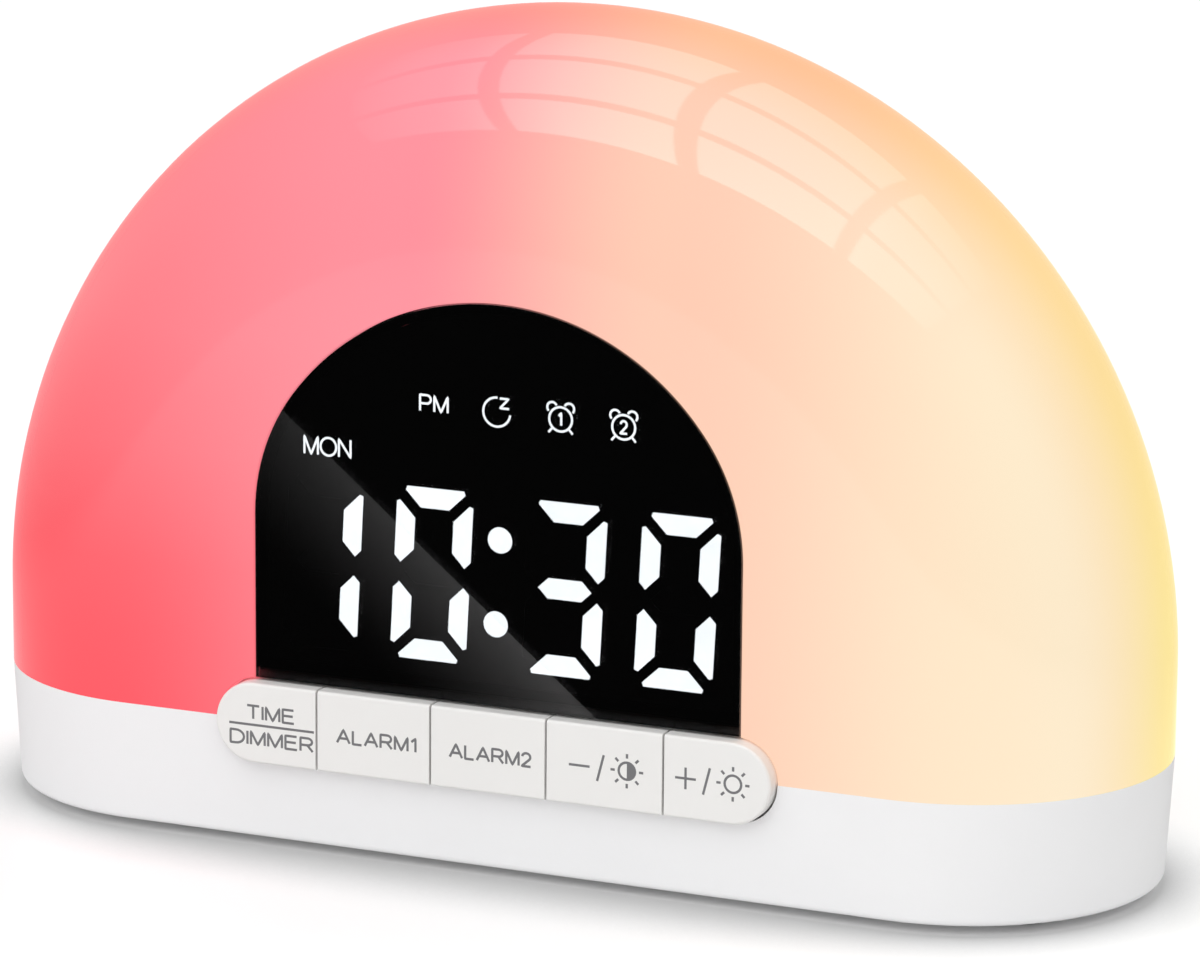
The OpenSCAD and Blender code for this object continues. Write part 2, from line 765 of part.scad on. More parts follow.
module display_screws() placed() color("silver") for (spot = display_screw_spots) {
    translate([spot.x, front_y + display_board_start + board_t, spot.y]) rotate([90, 0, 0]) {
        screw(board_t + display_screw_reach - tip_room);
    }
}
module tower_screws() placed() color("silver") at_tower_screws() {
    translate([0, 0, deck_top + leg_foot_t]) rotate([180, 0, 0]) screw(leg_foot_t + pilot_depth - tip_room);
}

// Flat ribbon from the back of the display board down to the main board, folded at each turn
module display_ribbon() placed() color("ivory") {
    low = main_top + ribbon_socket_t;
    hang = front_y + display_board_start + board_t;
    turn_z = tray_foot + 3;
    end_y = main_front_y + 3;
    translate([ribbon_x, 0, 0]) rotate([90, 0, 90]) linear_extrude(ribbon_w, center = true) {
        translate([hang, turn_z]) square([ribbon_t, ribbon_fold]);
        translate([hang, turn_z - ribbon_t]) square([ribbon_y - hang + ribbon_t, ribbon_t]);
        translate([ribbon_y, low]) square([ribbon_t, turn_z - low]);
        translate([ribbon_y, low]) square([end_y - ribbon_y, ribbon_t]);
    }
}

// --- Keys ------------------------------------------------------------------------------------------------

// Left edge, right edge and stem of key i. The end keys run to the round ends of the bar
function key_left(i) = i == 0 ? -key_len : (i - 2.5) * key_pitch + key_gap / 2;
function key_right(i) = i == 4 ? key_len : (i - 1.5) * key_pitch - key_gap / 2;
function key_middle(i) = abs(i - 2) == 2 ? sign(i - 2) * end_key_x : (i - 2) * key_pitch;

// Outline of key i: the bar grown by grow, cut at the key's edges drawn in by side
module key_2d(i, grow, side) intersection() {
    pill_2d(grow);
    translate([key_left(i) + side, key_z - key_h]) {
        square([key_right(i) - key_left(i) - 2 * side, 2 * key_h]);
    }
}

// Hollow key with a skirt, a keeping flange, a stem that runs in the guide and a rib each side of the stem
module key(i) placed() color("white") {
    skirt_end = key_flange_start + key_flange_t;
    difference() {
        intersection() {
            key_bar(key_proud + skirt_end);
            from_front(-key_proud - past, key_proud + skirt_end + 2 * past) key_2d(i, key_lip, 0);
        }
        from_front(key_face_t - key_proud, key_proud + skirt_end) key_2d(i, -key_wall, key_wall);
    }
    from_front(key_flange_start, key_flange_t) difference() {
        key_2d(i, key_lip, 0);
        key_2d(i, -key_wall, key_wall);
    }
    from_front(-key_proud, key_proud + stem_end) translate([key_middle(i), key_z]) circle(d = stem_d);
    from_front(-key_proud, key_proud + wall) translate([key_middle(i), key_z]) {
        square([key_rib_t, key_h - key_wall], center = true);
    }
}
module plunger(i) placed() color("dimgray") from_front(stem_end, plunger_len) {
    translate([key_middle(i), key_z]) circle(d = plunger_d);
}

// Plate behind the keys: a round guide hole for each stem and a standoff for each board screw
module key_guide() placed() color("lightgray") difference() {
    union() {
        from_front(guide_start, guide_t) translate([-guide_half, guide_low]) {
            square([2 * guide_half, guide_top - guide_low]);
        }
        from_front(guide_start, switch_board_start - guide_start) at_switch_screws() circle(standoff_r);
    }
    from_front(guide_start - past, guide_t + 2 * past) for (i = [0:4]) {
        translate([key_middle(i), key_z]) circle(d = stem_d + 2 * running);
    }
    from_front(guide_start - past, body_d) at_switch_screws() circle(d = screw_hole_d);
}
module switch_bodies() placed() color("black") for (i = [0:4]) translate([key_middle(i), 0, key_z]) {
    difference() {
        from_front(switch_start, switch_t) square(switch_w, center = true);
        from_front(switch_start - past, past + plunger_in + key_travel + clear) {
            circle(d = plunger_d + 2 * running);
        }
    }
}
module switch_board() placed() color("darkgreen") from_front(switch_board_start, board_t) difference() {
    translate([-guide_half, guide_low]) square([2 * guide_half, guide_top - guide_low]);
    at_switch_screws() circle(d = screw_hole_d);
}
module switch_screws() placed() color("silver") for (x = switch_screw_xs) {
    translate([x, front_y + switch_back, switch_screw_z]) rotate([90, 0, 0]) {
        screw(switch_back - wall - tip_room);
    }
}

// --- Electronics in the base -----------------------------------------------------------------------------

module main_board() placed() color("darkgreen") difference() {
    translate([-main_half, main_front_y, main_z]) {
        cube([2 * main_half, main_back_y - main_front_y, board_t]);
    }
    at_main_screws() translate([0, 0, main_z - past]) cylinder(h = board_t + 2 * past, d = screw_hole_d);
}
module board_screws() placed() color("silver") at_main_screws() {
    translate([0, 0, main_top]) rotate([180, 0, 0]) screw(board_t + pillar_pilot - tip_room);
}

// Flat chip with a row of legs along each side
module clock_chip() placed() color("black") translate([chip_x, main_front_y + chip_in, main_top]) {
    chip_w = 9;
    chip_t = 1.4;
    leg_pitch = 1;
    leg_count = 8;
    leg_reach = 1.2;
    lead_t = 0.4;
    translate([-chip_w / 2, -chip_w / 2, lead_t / 2]) cube([chip_w, chip_w, chip_t]);
    for (turn = [0, 90]) for (k = [0:leg_count - 1]) rotate(turn) {
        translate([(k - (leg_count - 1) / 2) * leg_pitch, 0, lead_t / 2]) {
            cube([lead_t, chip_w + 2 * leg_reach, lead_t], center = true);
        }
    }
}
module capacitors() placed() color("slategray") for (x = cap_xs) {
    can_r = 3.15;
    can_h = 5.9;
    foot_t = 1;
    translate([x, main_front_y + cap_in, main_top]) {
        cylinder(h = can_h, r = can_r);
        linear_extrude(foot_t) square(2 * can_r, center = true);
    }
}
module crystal() placed() color("silver") translate([crystal_x, main_front_y + crystal_in, main_top]) {
    can_t = 3.4;
    can_r = 2.3;
    end_x = 3.2;
    linear_extrude(can_t) {
        square([2 * end_x, 2 * can_r], center = true);
        for (side = [-1, 1]) translate([side * end_x, 0]) circle(can_r);
    }
}

// Sockets for the ribbon, the speaker leads and the lamp leads
module board_connectors() placed() color("white") {
    socket_block([ribbon_x, main_front_y + 3.5], [ribbon_w + 2, 5], ribbon_socket_t);
    socket_block([main_half - speaker_socket_in, 0], [6, 6], socket_h);
    socket_block([lamp_lead_x, lamp_lead_y], [9, 5], socket_h);
}
module socket_block(place, size, height) translate([place.x, place.y, main_top]) {
    linear_extrude(height) square(size, center = true);
}

// Oval outline of the power socket in back view, grown by grow
module usb_outline(grow) translate([0, usb_z]) {
    r = usb_h / 2;
    square([usb_w - 2 * r, usb_h + 2 * grow], center = true);
    for (side = [-1, 1]) translate([side * (usb_w / 2 - r), 0]) circle(r + grow);
}
module usb_shell() placed() color("silver") {
    along_y(usb_back_y - usb_len, usb_len) difference() {
        usb_outline(0);
        usb_outline(-usb_wall);
    }
    along_y(usb_back_y - usb_len, usb_wall) usb_outline(0);
}
module usb_tongue() placed() color("black") {
    tongue = [6.7, 0.7];
    reach = 5.2;
    along_y(usb_back_y - usb_len + usb_wall, reach) translate([0, usb_z]) square(tongue, center = true);
}

// --- Loudspeaker -----------------------------------------------------------------------------------------

module at_speaker() placed() translate([speaker_x, 0, 0]) children();
module speaker_gasket() at_speaker() color("dimgray") translate([0, 0, cover_top]) difference() {
    cylinder(h = gasket_t, r = speaker_r);
    translate([0, 0, -past]) cylinder(h = gasket_t + 2 * past, r = speaker_inner_r);
}

// Pressed steel basket: flat rim, cone wall, back plate and terminal tab
module speaker_basket() at_speaker() color("silver") {
    rim_top = basket_z + basket_rim_t;
    back_z = basket_z + basket_h;
    vent_r = 2;
    tab = [4.2, 8];
    rotate_extrude() polygon([
        [speaker_r, basket_z], [speaker_r, rim_top], [speaker_inner_r + basket_wall, rim_top],
        [magnet_r + basket_wall, back_z], [vent_r, back_z], [vent_r, back_z - basket_wall],
        [magnet_r, back_z - basket_wall], [speaker_inner_r, rim_top - joined], [speaker_inner_r, basket_z]
    ]);
    translate([-magnet_r - tab.x + 0.2, -tab.y / 2, back_z - joined]) cube([tab.x, tab.y, joined + tab_t]);
}

// Paper cone with a domed cap, fixed at the basket's rim
module speaker_cone() at_speaker() color("black") rotate_extrude() {
    cap_r = 4.5;
    cap_z = basket_z + basket_h / 2;
    cap_crown = 0.6;
    polygon([
        [speaker_inner_r, basket_z], [speaker_inner_r, basket_z + cone_t], [cap_r, cap_z + cone_t],
        [0, cap_z - cap_crown + cone_t], [0, cap_z - cap_crown], [cap_r, cap_z]
    ]);
}
module speaker_magnet() at_speaker() color("dimgray") {
    translate([0, 0, basket_z + basket_h]) cylinder(h = magnet_t, r = magnet_r - joined);
}

// Two leads from the speaker's tab to its socket
module speaker_leads() placed() color("firebrick") {
    start_x = main_half - speaker_socket_in + 3;
    end_x = speaker_x - magnet_r - 1;
    lead_z = basket_z + basket_h + tab_t + lead_r;
    for (side = [-1, 1]) translate([start_x, side * lead_pitch, lead_z]) rotate([0, 90, 0]) {
        cylinder(h = end_x - start_x, r = lead_r);
    }
}

// --- Lamp ------------------------------------------------------------------------------------------------

module lamp_board() placed() color("white") difference() {
    translate([-lamp_half, lamp_front_y, lamp_z]) {
        cube([2 * lamp_half, lamp_back_y - lamp_front_y, board_t]);
    }
    at_lamp_screws() translate([0, 0, lamp_z - past]) cylinder(h = board_t + 2 * past, d = screw_hole_d);
}
module lamp_leds() placed() color("khaki") for (i = [0:lamp_count - 1]) for (y = lamp_rows) {
    translate([(i - (lamp_count - 1) / 2) * lamp_pitch, y, lamp_z + board_t]) difference() {
        linear_extrude(lamp_led_t) square(lamp_led, center = true);
        translate([0, 0, lamp_led_t / 2]) cylinder(h = lamp_led_t, r = lamp_led_r);
    }
}
module lamp_screws() placed() color("silver") at_lamp_screws() {
    translate([0, 0, lamp_z + board_t]) rotate([180, 0, 0]) screw(board_t + pillar_pilot - tip_room);
}
module lamp_leads() placed() color("gold") for (k = [0:3]) {
    low = main_top + socket_h;
    translate([lamp_lead_x + (k - 1.5) * lead_pitch, lamp_lead_y, low]) {
        cylinder(h = lamp_z - low, r = lead_r);
    }
}

// --- Backup cell -----------------------------------------------------------------------------------------

module coin_cell() placed() color("silver") translate([cell_x, 0, cell_z]) {
    lid_t = 0.6;
    lid_in = 1.2;
    cylinder(h = lid_t, r = cell_d / 2 - lid_in);
    translate([0, 0, lid_t]) cylinder(h = cell_t - lid_t, r = cell_d / 2);
}

// Bent spring leaf over the cell
module cell_contacts() placed() color("gold") translate([cell_x, 0, cell_z + cell_t]) {
    leaf_l = 12;
    leaf_w = 4;
    rotate([90, 0, 0]) linear_extrude(leaf_w, center = true) {
        polygon([
            [-leaf_l / 2, contact_h - contact_t], [-leaf_l / 2, contact_h], [0, contact_h],
            [leaf_l / 2, contact_t], [leaf_l / 2, 0], [0, contact_h - contact_t]
        ]);
    }
}

// --- Assembly --------------------------------------------------------------------------------------------

dome_diffuser();
base_housing();
bottom_cover();
rubber_feet();
cover_screws();
dome_screws();
display_lens();
display_mask();
display_frame();
display_reflector();
lit_segments();
dark_segments();
colon_dots();
icon_guides();
display_board();
display_leds();
display_screws();
tower_screws();
display_ribbon();
key(0);  // time_dimmer_key
key(1);  // alarm1_key
key(2);  // alarm2_key
key(3);  // minus_key
key(4);  // plus_key
plunger(0);  // time_dimmer_plunger
plunger(1);  // alarm1_plunger
plunger(2);  // alarm2_plunger
plunger(3);  // minus_plunger
plunger(4);  // plus_plunger
key_guide();
switch_bodies();
switch_board();
switch_screws();
main_board();
clock_chip();
capacitors();
crystal();
board_connectors();
board_screws();
usb_shell();
usb_tongue();
speaker_basket();
speaker_cone();
speaker_magnet();
speaker_gasket();
speaker_leads();
lamp_board();
lamp_leds();
lamp_screws();
lamp_leads();
coin_cell();
cell_contacts();
battery_door();
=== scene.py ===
# %% [markdown]
# # A sunrise alarm clock
#
# The clock is a frosted half-round lamp on a white base, with a black window for its display and a bar
# of five keys. The frame brings in every solid part of it, in metres, at its real place. This lesson
# gives the parts their finishes, models the few pieces that are better drawn here, and sets up a small
# photo studio.

import json
import math

import bpy
from mathutils import Matrix, Vector


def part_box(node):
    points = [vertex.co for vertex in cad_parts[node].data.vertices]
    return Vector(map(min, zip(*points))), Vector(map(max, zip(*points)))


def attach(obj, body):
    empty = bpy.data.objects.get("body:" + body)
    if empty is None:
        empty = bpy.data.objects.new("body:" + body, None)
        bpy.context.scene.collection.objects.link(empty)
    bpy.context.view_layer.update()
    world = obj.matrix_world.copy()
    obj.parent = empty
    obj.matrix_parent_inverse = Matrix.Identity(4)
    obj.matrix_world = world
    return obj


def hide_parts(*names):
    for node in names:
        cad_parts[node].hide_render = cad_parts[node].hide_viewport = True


MM = 0.001
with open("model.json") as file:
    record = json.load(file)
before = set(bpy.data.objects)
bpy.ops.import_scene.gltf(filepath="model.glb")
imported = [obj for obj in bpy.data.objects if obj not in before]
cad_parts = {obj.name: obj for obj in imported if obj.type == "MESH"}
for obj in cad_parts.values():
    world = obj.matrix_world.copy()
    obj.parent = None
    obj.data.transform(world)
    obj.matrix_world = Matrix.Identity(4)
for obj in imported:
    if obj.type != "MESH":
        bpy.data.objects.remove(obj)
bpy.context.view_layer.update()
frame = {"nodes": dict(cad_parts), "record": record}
NODES = frame["nodes"]

# %% [markdown]
# A few sizes are read from the frame, so that everything below follows the solids: where the flat front
# of the dome lies, where the keys' faces are, and the height of the joint between base and dome.

# %% Sizes from the frame
dome_low, dome_high = (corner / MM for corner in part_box("dome_diffuser"))
lens_low, lens_high = (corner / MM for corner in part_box("display_lens"))
mask_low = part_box("display_mask")[0] / MM
keys_low, keys_high = (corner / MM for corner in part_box("alarm1_key"))

joint_z = dome_low.z
front_y = dome_low.y
key_face_y = keys_low.y
middle_y = (dome_low.y + dome_high.y) / 2
half_depth = (dome_high.y - dome_low.y) / 2
# The middle of the front is a half disc: half_run is its radius, and dome_z the height of its centre
half_run = dome_high.x - half_depth
dome_z = dome_high.z - half_run - half_depth
print(f"joint {joint_z:.1f}, front {front_y:.1f}, key face {key_face_y:.1f} mm")
print(f"rim radius {half_depth:.1f} mm")

# %% [markdown]
# ## Camera
#
# The clock is seen from its front, a little from the right and from above, with a long lens that keeps
# its upright lines almost parallel.

# %% Camera
CAMERA_AT = Vector((338.95, -777.32, 252.75)) * MM
# Turns of the camera in radians: to its side, down, and about its own line of sight
CAMERA_PAN = 0.407464
CAMERA_DIP = 0.232620
CAMERA_ROLL = 0.008113
SENSOR_WIDTH, LENS = 36, 179.93  # mm
SEES_TO = 20  # metres
CLOCK_MIDDLE = Vector((0, 0, 60)) * MM

camera_data = bpy.data.cameras.new("studio_camera")
camera_data.sensor_width = SENSOR_WIDTH
camera_data.lens = LENS
camera_data.clip_end = SEES_TO
camera = bpy.data.objects.new("studio_camera", camera_data)
bpy.context.scene.collection.objects.link(camera)
turned = (
    Matrix.Rotation(CAMERA_PAN, 4, "Z")
    @ Matrix.Rotation(math.pi / 2 - CAMERA_DIP, 4, "X")
    @ Matrix.Rotation(CAMERA_ROLL, 4, "Z")
)
camera.matrix_world = Matrix.Translation(CAMERA_AT) @ turned
bpy.context.scene.camera = camera
bpy.context.scene.view_settings.view_transform = "Standard"
print("camera distance to the clock in mm:", round((CAMERA_AT - CLOCK_MIDDLE).length / MM))

# %% [markdown]
# ## Helpers
#
# Colours are written as the sRGB hex values that a colour picker shows, and one function turns them
# into the linear values that Blender computes with. Another adds one node to a material, with its
# settings and its links, and one sets the stops of a colour ramp. The last one deselects everything and
# selects only the pieces that the next operator is for.


# %% Helpers
def linear(hex_colour):
    """Linear RGBA of an sRGB hex colour."""
    channels = [int(hex_colour[i : i + 2], 16) / 255 for i in (1, 3, 5)]
    return (*(c / 12.92 if c <= 0.04045 else ((c + 0.055) / 1.055) ** 2.4 for c in channels), 1.0)


def link(material, source, socket):
    """Links an output to a socket. A node stands for its first output."""
    output = source.outputs[0] if isinstance(source, bpy.types.Node) else source
    material.node_tree.links.new(output, socket)


def node(material, kind, inputs=None, **settings):
    """Adds a node with its settings. An input is a value, or what to link: an output or a node.

    The kind is Blender's name for it without ShaderNode in front.
    """
    made = material.node_tree.nodes.new("ShaderNode" + kind)
    for field, value in settings.items():
        setattr(made, field, value)
    for name, value in (inputs or {}).items():
        if isinstance(value, (bpy.types.Node, bpy.types.NodeSocket)):
            link(material, value, made.inputs[name])
        else:
            made.inputs[name].default_value = value
    return made


def start_material(name, **shader):
    """A new material and its Principled shader, with constant values set on the shader's sockets."""
    material = bpy.data.materials.new(name)
    material.use_nodes = True
    surface = material.node_tree.nodes["Principled BSDF"]
    for socket, value in shader.items():
        surface.inputs[socket.replace("_", " ")].default_value = value
    return material, surface


def grey(level):
    """A grey of that linear level."""
    return (level, level, level, 1.0)


def set_stops(ramp, *stops):
    """Sets the stops of a colour ramp: for each its position, from 0 to 1, and its colour."""
    for i, (position, colour) in enumerate(stops):
        elements = ramp.color_ramp.elements
        stop = elements[i] if i < 2 else elements.new(position)
        stop.position = position
        stop.color = colour


def select_only(*pieces):
    bpy.ops.object.select_all(action="DESELECT")
    for piece in pieces:
        piece.select_set(True)
    bpy.context.view_layer.objects.active = pieces[0]


# %% [markdown]
# ## Moulded plastics
#
# Most parts are injection moulded. The steel mould is spark eroded, which leaves a fine grain of small
# bumps on the part that breaks up the gloss. The real bumps are about 0.05 mm apart. They are drawn at a
# few tenths of a millimetre, so that they still show in a render. A slow drift in tone stands for the
# way that plastic flows and cools.


# %% Moulded plastic
DRIFT = 25  # mm between a paler and a deeper patch
UNEVEN = 0.05  # how far the roughness strays to each side


def moulded(name, colour, tone=0.03, rough=0.4, grain=0.35, depth=0.04, **shader):
    """Moulded plastic with a spark-eroded grain, in mm, and a slow drift in tone."""
    material, surface = start_material(name, **shader)
    place = node(material, "TexCoord").outputs["Object"]
    drift = node(material, "TexNoise", {"Vector": place, "Scale": 1 / (DRIFT * MM), "Detail": 2.0})
    grains = node(material, "TexNoise", {"Vector": place, "Scale": 1 / (grain * MM), "Detail": 3.0})
    pale = [min(1.0, c * (1 + tone)) for c in linear(colour)[:3]]
    deep = [c * (1 - tone) for c in linear(colour)[:3]]
    ramp = node(material, "ValToRGB", {"Fac": drift})
    set_stops(ramp, (0.3, (*deep, 1.0)), (0.7, (*pale, 1.0)))
    link(material, ramp, surface.inputs["Base Color"])
    gloss = node(
        material, "MapRange", {"Value": grains, "To Min": rough - UNEVEN, "To Max": rough + UNEVEN}
    )
    link(material, gloss, surface.inputs["Roughness"])
    bump = node(material, "Bump", {"Height": grains, "Strength": 0.25, "Distance": depth * MM})
    link(material, bump, surface.inputs["Normal"])
    return material


MATERIALS = {
    # Glossy-satin ABS of the base, a neutral white that shades softly
    "housing": moulded("white_abs_satin", "#f0f0f1", tone=0.008, rough=0.38, IOR=1.54),
    # The keys are a touch warmer and more matt than the base
    "keys": moulded("white_abs_keys", "#eae9e7", tone=0.01, rough=0.45, grain=0.3, IOR=1.54),
    "frame": moulded("black_abs_frame", "#040404", tone=0.1, rough=0.6, Specular_IOR_Level=0.0),
    "reflector": moulded("white_polycarbonate_reflector", "#f4f4f0", tone=0.02, rough=0.5, IOR=1.58),
    "grey_plastic": moulded("grey_abs_guide", "#b9bcc0", tone=0.03, rough=0.45, IOR=1.54),
    "black_plastic": moulded("black_nylon", "#1b1c1f", tone=0.12, rough=0.5, grain=0.25, IOR=1.53),
    "ivory_plastic": moulded("ivory_nylon", "#e9e2cd", tone=0.03, rough=0.45, grain=0.25, IOR=1.53),
    # Foot rubber is dark, and its soft mould leaves a coarser, matt skin
    "rubber": moulded("black_rubber", "#2a2b2d", tone=0.15, rough=0.75, grain=0.5, depth=0.08, IOR=1.52),
    # Foam between the loudspeaker and the cover: open cells about half a millimetre wide
    "gasket": moulded("black_foam", "#232325", tone=0.3, rough=0.95, grain=0.6, depth=0.25, IOR=1.4),
    "cone": moulded(
        "pressed_paper_cone", "#2b2a29", tone=0.25, rough=0.85, grain=0.7, depth=0.12, IOR=1.5
    ),
    "red_lead": moulded("red_pvc_lead", "#a8241c", tone=0.05, rough=0.35, grain=0.3, IOR=1.53),
    "yellow_lead": moulded("yellow_pvc_lead", "#d8a91d", tone=0.05, rough=0.35, grain=0.3, IOR=1.53),
}
print("moulded finishes:", len(MATERIALS))

# %% [markdown]
# ## Metals
#
# Screws, springs and shields are plated steel or brass. A rolled or turned surface carries fine lines
# along one direction, so the noise is stretched: long in one axis, short in the other two.


# %% Metal
def rolled_metal(name, colour, rough, line=0.15, length=4.0, along="X"):
    """Metal with fine lines of that width and length, in mm, along one axis."""
    material, surface = start_material(name, Metallic=1.0)
    place = node(material, "TexCoord").outputs["Object"]
    scales = [1 / (length * MM) if axis == along else 1 / (line * MM) for axis in "XYZ"]
    stretched = node(material, "Mapping", {"Vector": place, "Scale": scales})
    lines = node(material, "TexNoise", {"Vector": stretched, "Scale": 1.0, "Detail": 3.0})
    ramp = node(material, "ValToRGB", {"Fac": lines})
    dull = (*(c * 0.8 for c in linear(colour)[:3]), 1.0)
    set_stops(ramp, (0.25, dull), (0.75, linear(colour)))
    link(material, ramp, surface.inputs["Base Color"])
    gloss = node(material, "MapRange", {"Value": lines, "To Min": rough - 0.06, "To Max": rough + 0.08})
    link(material, gloss, surface.inputs["Roughness"])
    bump = node(material, "Bump", {"Height": lines, "Strength": 0.2, "Distance": 0.01 * MM})
    link(material, bump, surface.inputs["Normal"])
    return material


MATERIALS.update(
    {
        "screw_steel": rolled_metal("zinc_plated_steel", "#c9ccd2", 0.3, length=0.6, along="Z"),
        "bright_metal": rolled_metal("stamped_stainless_steel", "#d6d8db", 0.22),
        "spring_brass": rolled_metal("rolled_spring_brass", "#d3a94e", 0.25),
        "magnet": rolled_metal("nickel_plated_magnet", "#8f9095", 0.4, length=1.0),
        "capacitor": rolled_metal("anodised_aluminium_can", "#aab4c4", 0.32, along="Z"),
    }
)
print("finishes so far:", len(MATERIALS))

# %% [markdown]
# ## Circuit boards
#
# A circuit board is glass fibre under solder mask. The copper tracks below the mask show as paler lines
# on the green, and the bare pads are tinned. The borders between the cells of a Voronoi pattern stand
# for the tracks, and a dot in the middle of each cell for a pad. The cells are 3 mm wide, about twice
# the spacing of real tracks, and larger on the lamp board, which carries little but lamps.


# %% Boards
TINNED = "#b9b7ae"
# Share of a cell at which a track or a pad ends, from its full colour to none
TRACK_EDGE = {"From Min": 0.04, "From Max": 0.07, "To Min": 1.0, "To Max": 0.0}
PAD_EDGE = {"From Min": 0.13, "From Max": 0.16, "To Min": 1.0, "To Max": 0.0}


def solder_mask(name, mask, track, pitch=3.0):
    """Solder mask over copper tracks whose cells are that wide, in mm, with tinned pads."""
    material, surface = start_material(name, Roughness=0.35, IOR=1.55)
    place = node(material, "TexCoord").outputs["Object"]
    pattern = {"Vector": place, "Scale": 1 / (pitch * MM), "Randomness": 0.6}
    cells = node(material, "TexVoronoi", pattern, feature="DISTANCE_TO_EDGE")
    tracks = node(material, "MapRange", {"Value": cells, **TRACK_EDGE})
    dots = node(material, "TexVoronoi", pattern, feature="F1")
    pads = node(material, "MapRange", {"Value": dots, **PAD_EDGE})
    copper = node(material, "ValToRGB", {"Fac": tracks})
    set_stops(copper, (0, linear(mask)), (1, linear(track)))
    with_pads = node(material, "MixRGB", {"Fac": pads, "Color1": copper, "Color2": linear(TINNED)})
    link(material, with_pads, surface.inputs["Base Color"])
    bump = node(material, "Bump", {"Height": tracks, "Strength": 0.4, "Distance": 0.035 * MM})
    link(material, bump, surface.inputs["Normal"])
    return material


MATERIALS["board"] = solder_mask("green_solder_mask", "#14532f", "#2c7a48")
MATERIALS["lamp_board"] = solder_mask("white_solder_mask", "#e6e7e4", "#f4f4f1", pitch=6.0)
print("finishes so far:", len(MATERIALS))

# %% [markdown]
# ## Small parts of the display and the lamp
#
# A lamp chip is a white ceramic cup filled with yellow phosphor gel. The ribbon is a row of white
# insulated cores side by side. The mask behind the window is black ink on a clear film. A light window
# that is switched off is milky too, but it is drawn nearly black: painted shade, for how little light
# gets to it and back through the smoke. Neither has any gloss, so that neither shows through the window.

# %% Phosphor gel
POWDER = 0.4  # mm, the grain of the phosphor
led, led_surface = start_material("yellow_phosphor_gel", Roughness=0.3, IOR=1.5)
place = node(led, "TexCoord").outputs["Object"]
powder = node(led, "TexNoise", {"Vector": place, "Scale": 1 / (POWDER * MM), "Detail": 2.0})
gel = node(led, "ValToRGB", {"Fac": powder})
set_stops(gel, (0, linear("#e8c34a")), (1, linear("#f6e08a")))
link(led, gel, led_surface.inputs["Base Color"])
MATERIALS["led"] = led
print("finishes so far:", len(MATERIALS))

# %% Ribbon cable
WAVE = 6.3  # mm; its bands repeat at 0.314 of this, so that a core is 2 mm wide
ribbon, ribbon_surface = start_material("white_ribbon_cable", Roughness=0.45, IOR=1.5)
place = node(ribbon, "TexCoord").outputs["Object"]
cores = node(
    ribbon,
    "TexWave",
    {"Vector": place, "Scale": 1 / (WAVE * MM)},
    wave_type="BANDS",
    bands_direction="X",
)
# Each core is paler on its crown and darker down in the groove to the next, a painted shade that follows
# the bumps
cores_and_painted_shade = node(ribbon, "ValToRGB", {"Fac": cores.outputs["Fac"]})
set_stops(cores_and_painted_shade, (0, linear("#b9b9b2")), (1, linear("#efefe8")))
link(ribbon, cores_and_painted_shade, ribbon_surface.inputs["Base Color"])
bump = node(ribbon, "Bump", {"Height": cores.outputs["Fac"], "Strength": 0.5, "Distance": 0.1 * MM})
link(ribbon, bump, ribbon_surface.inputs["Normal"])
MATERIALS["ribbon"] = ribbon
print("finishes so far:", len(MATERIALS))

# %% Mask and unlit windows
no_gloss = {"Specular_IOR_Level": 0.0}
MATERIALS["mask"] = moulded(
    "black_ink_on_film", "#030303", tone=0.1, rough=0.6, grain=0.2, depth=0.01, **no_gloss
)
# Painted shade: the milky unlit windows are given a near black colour
MATERIALS["unlit"] = moulded(
    "milky_acrylic_unlit_painted_dark", "#040404", tone=0.05, rough=0.5, grain=0.3, **no_gloss
)
print("finishes so far:", len(MATERIALS))

# %% [markdown]
# ## The smoked window
#
# The window is smoked polycarbonate with a polished face. It passes about a tenth of the light, which
# hides what is behind it and leaves only what shines. Polycarbonate has an index of 1.585. Wiping
# leaves faint streaks that change the gloss a little.

# %% Smoked polycarbonate
CLOUD, STREAK = 30, 8  # mm between clouds in the smoke, and between streaks
smoked, smoked_surface = start_material("smoked_polycarbonate", IOR=1.585)
smoked_surface.inputs["Transmission Weight"].default_value = 1.0
place = node(smoked, "TexCoord").outputs["Object"]
smoke = node(smoked, "TexNoise", {"Vector": place, "Scale": 1 / (CLOUD * MM), "Detail": 1.0})
density = node(smoked, "ValToRGB", {"Fac": smoke})
set_stops(density, (0, linear("#5a5a5c")), (1, linear("#626264")))
link(smoked, density, smoked_surface.inputs["Base Color"])
streaks = node(smoked, "TexNoise", {"Vector": place, "Scale": 1 / (STREAK * MM), "Detail": 2.0})
wiped = node(smoked, "MapRange", {"Value": streaks, "To Min": 0.01, "To Max": 0.035})
link(smoked, wiped, smoked_surface.inputs["Roughness"])
MATERIALS["window"] = smoked
print("finishes so far:", len(MATERIALS))

# %% [markdown]
# ## Lit figures
#
# Each lit segment is a milky plastic window over a small lamp. Only its front face shines, and its
# white drifts a little towards blue. Its light has to pass the smoked window, so it is far stronger
# than the white that reaches the eye.

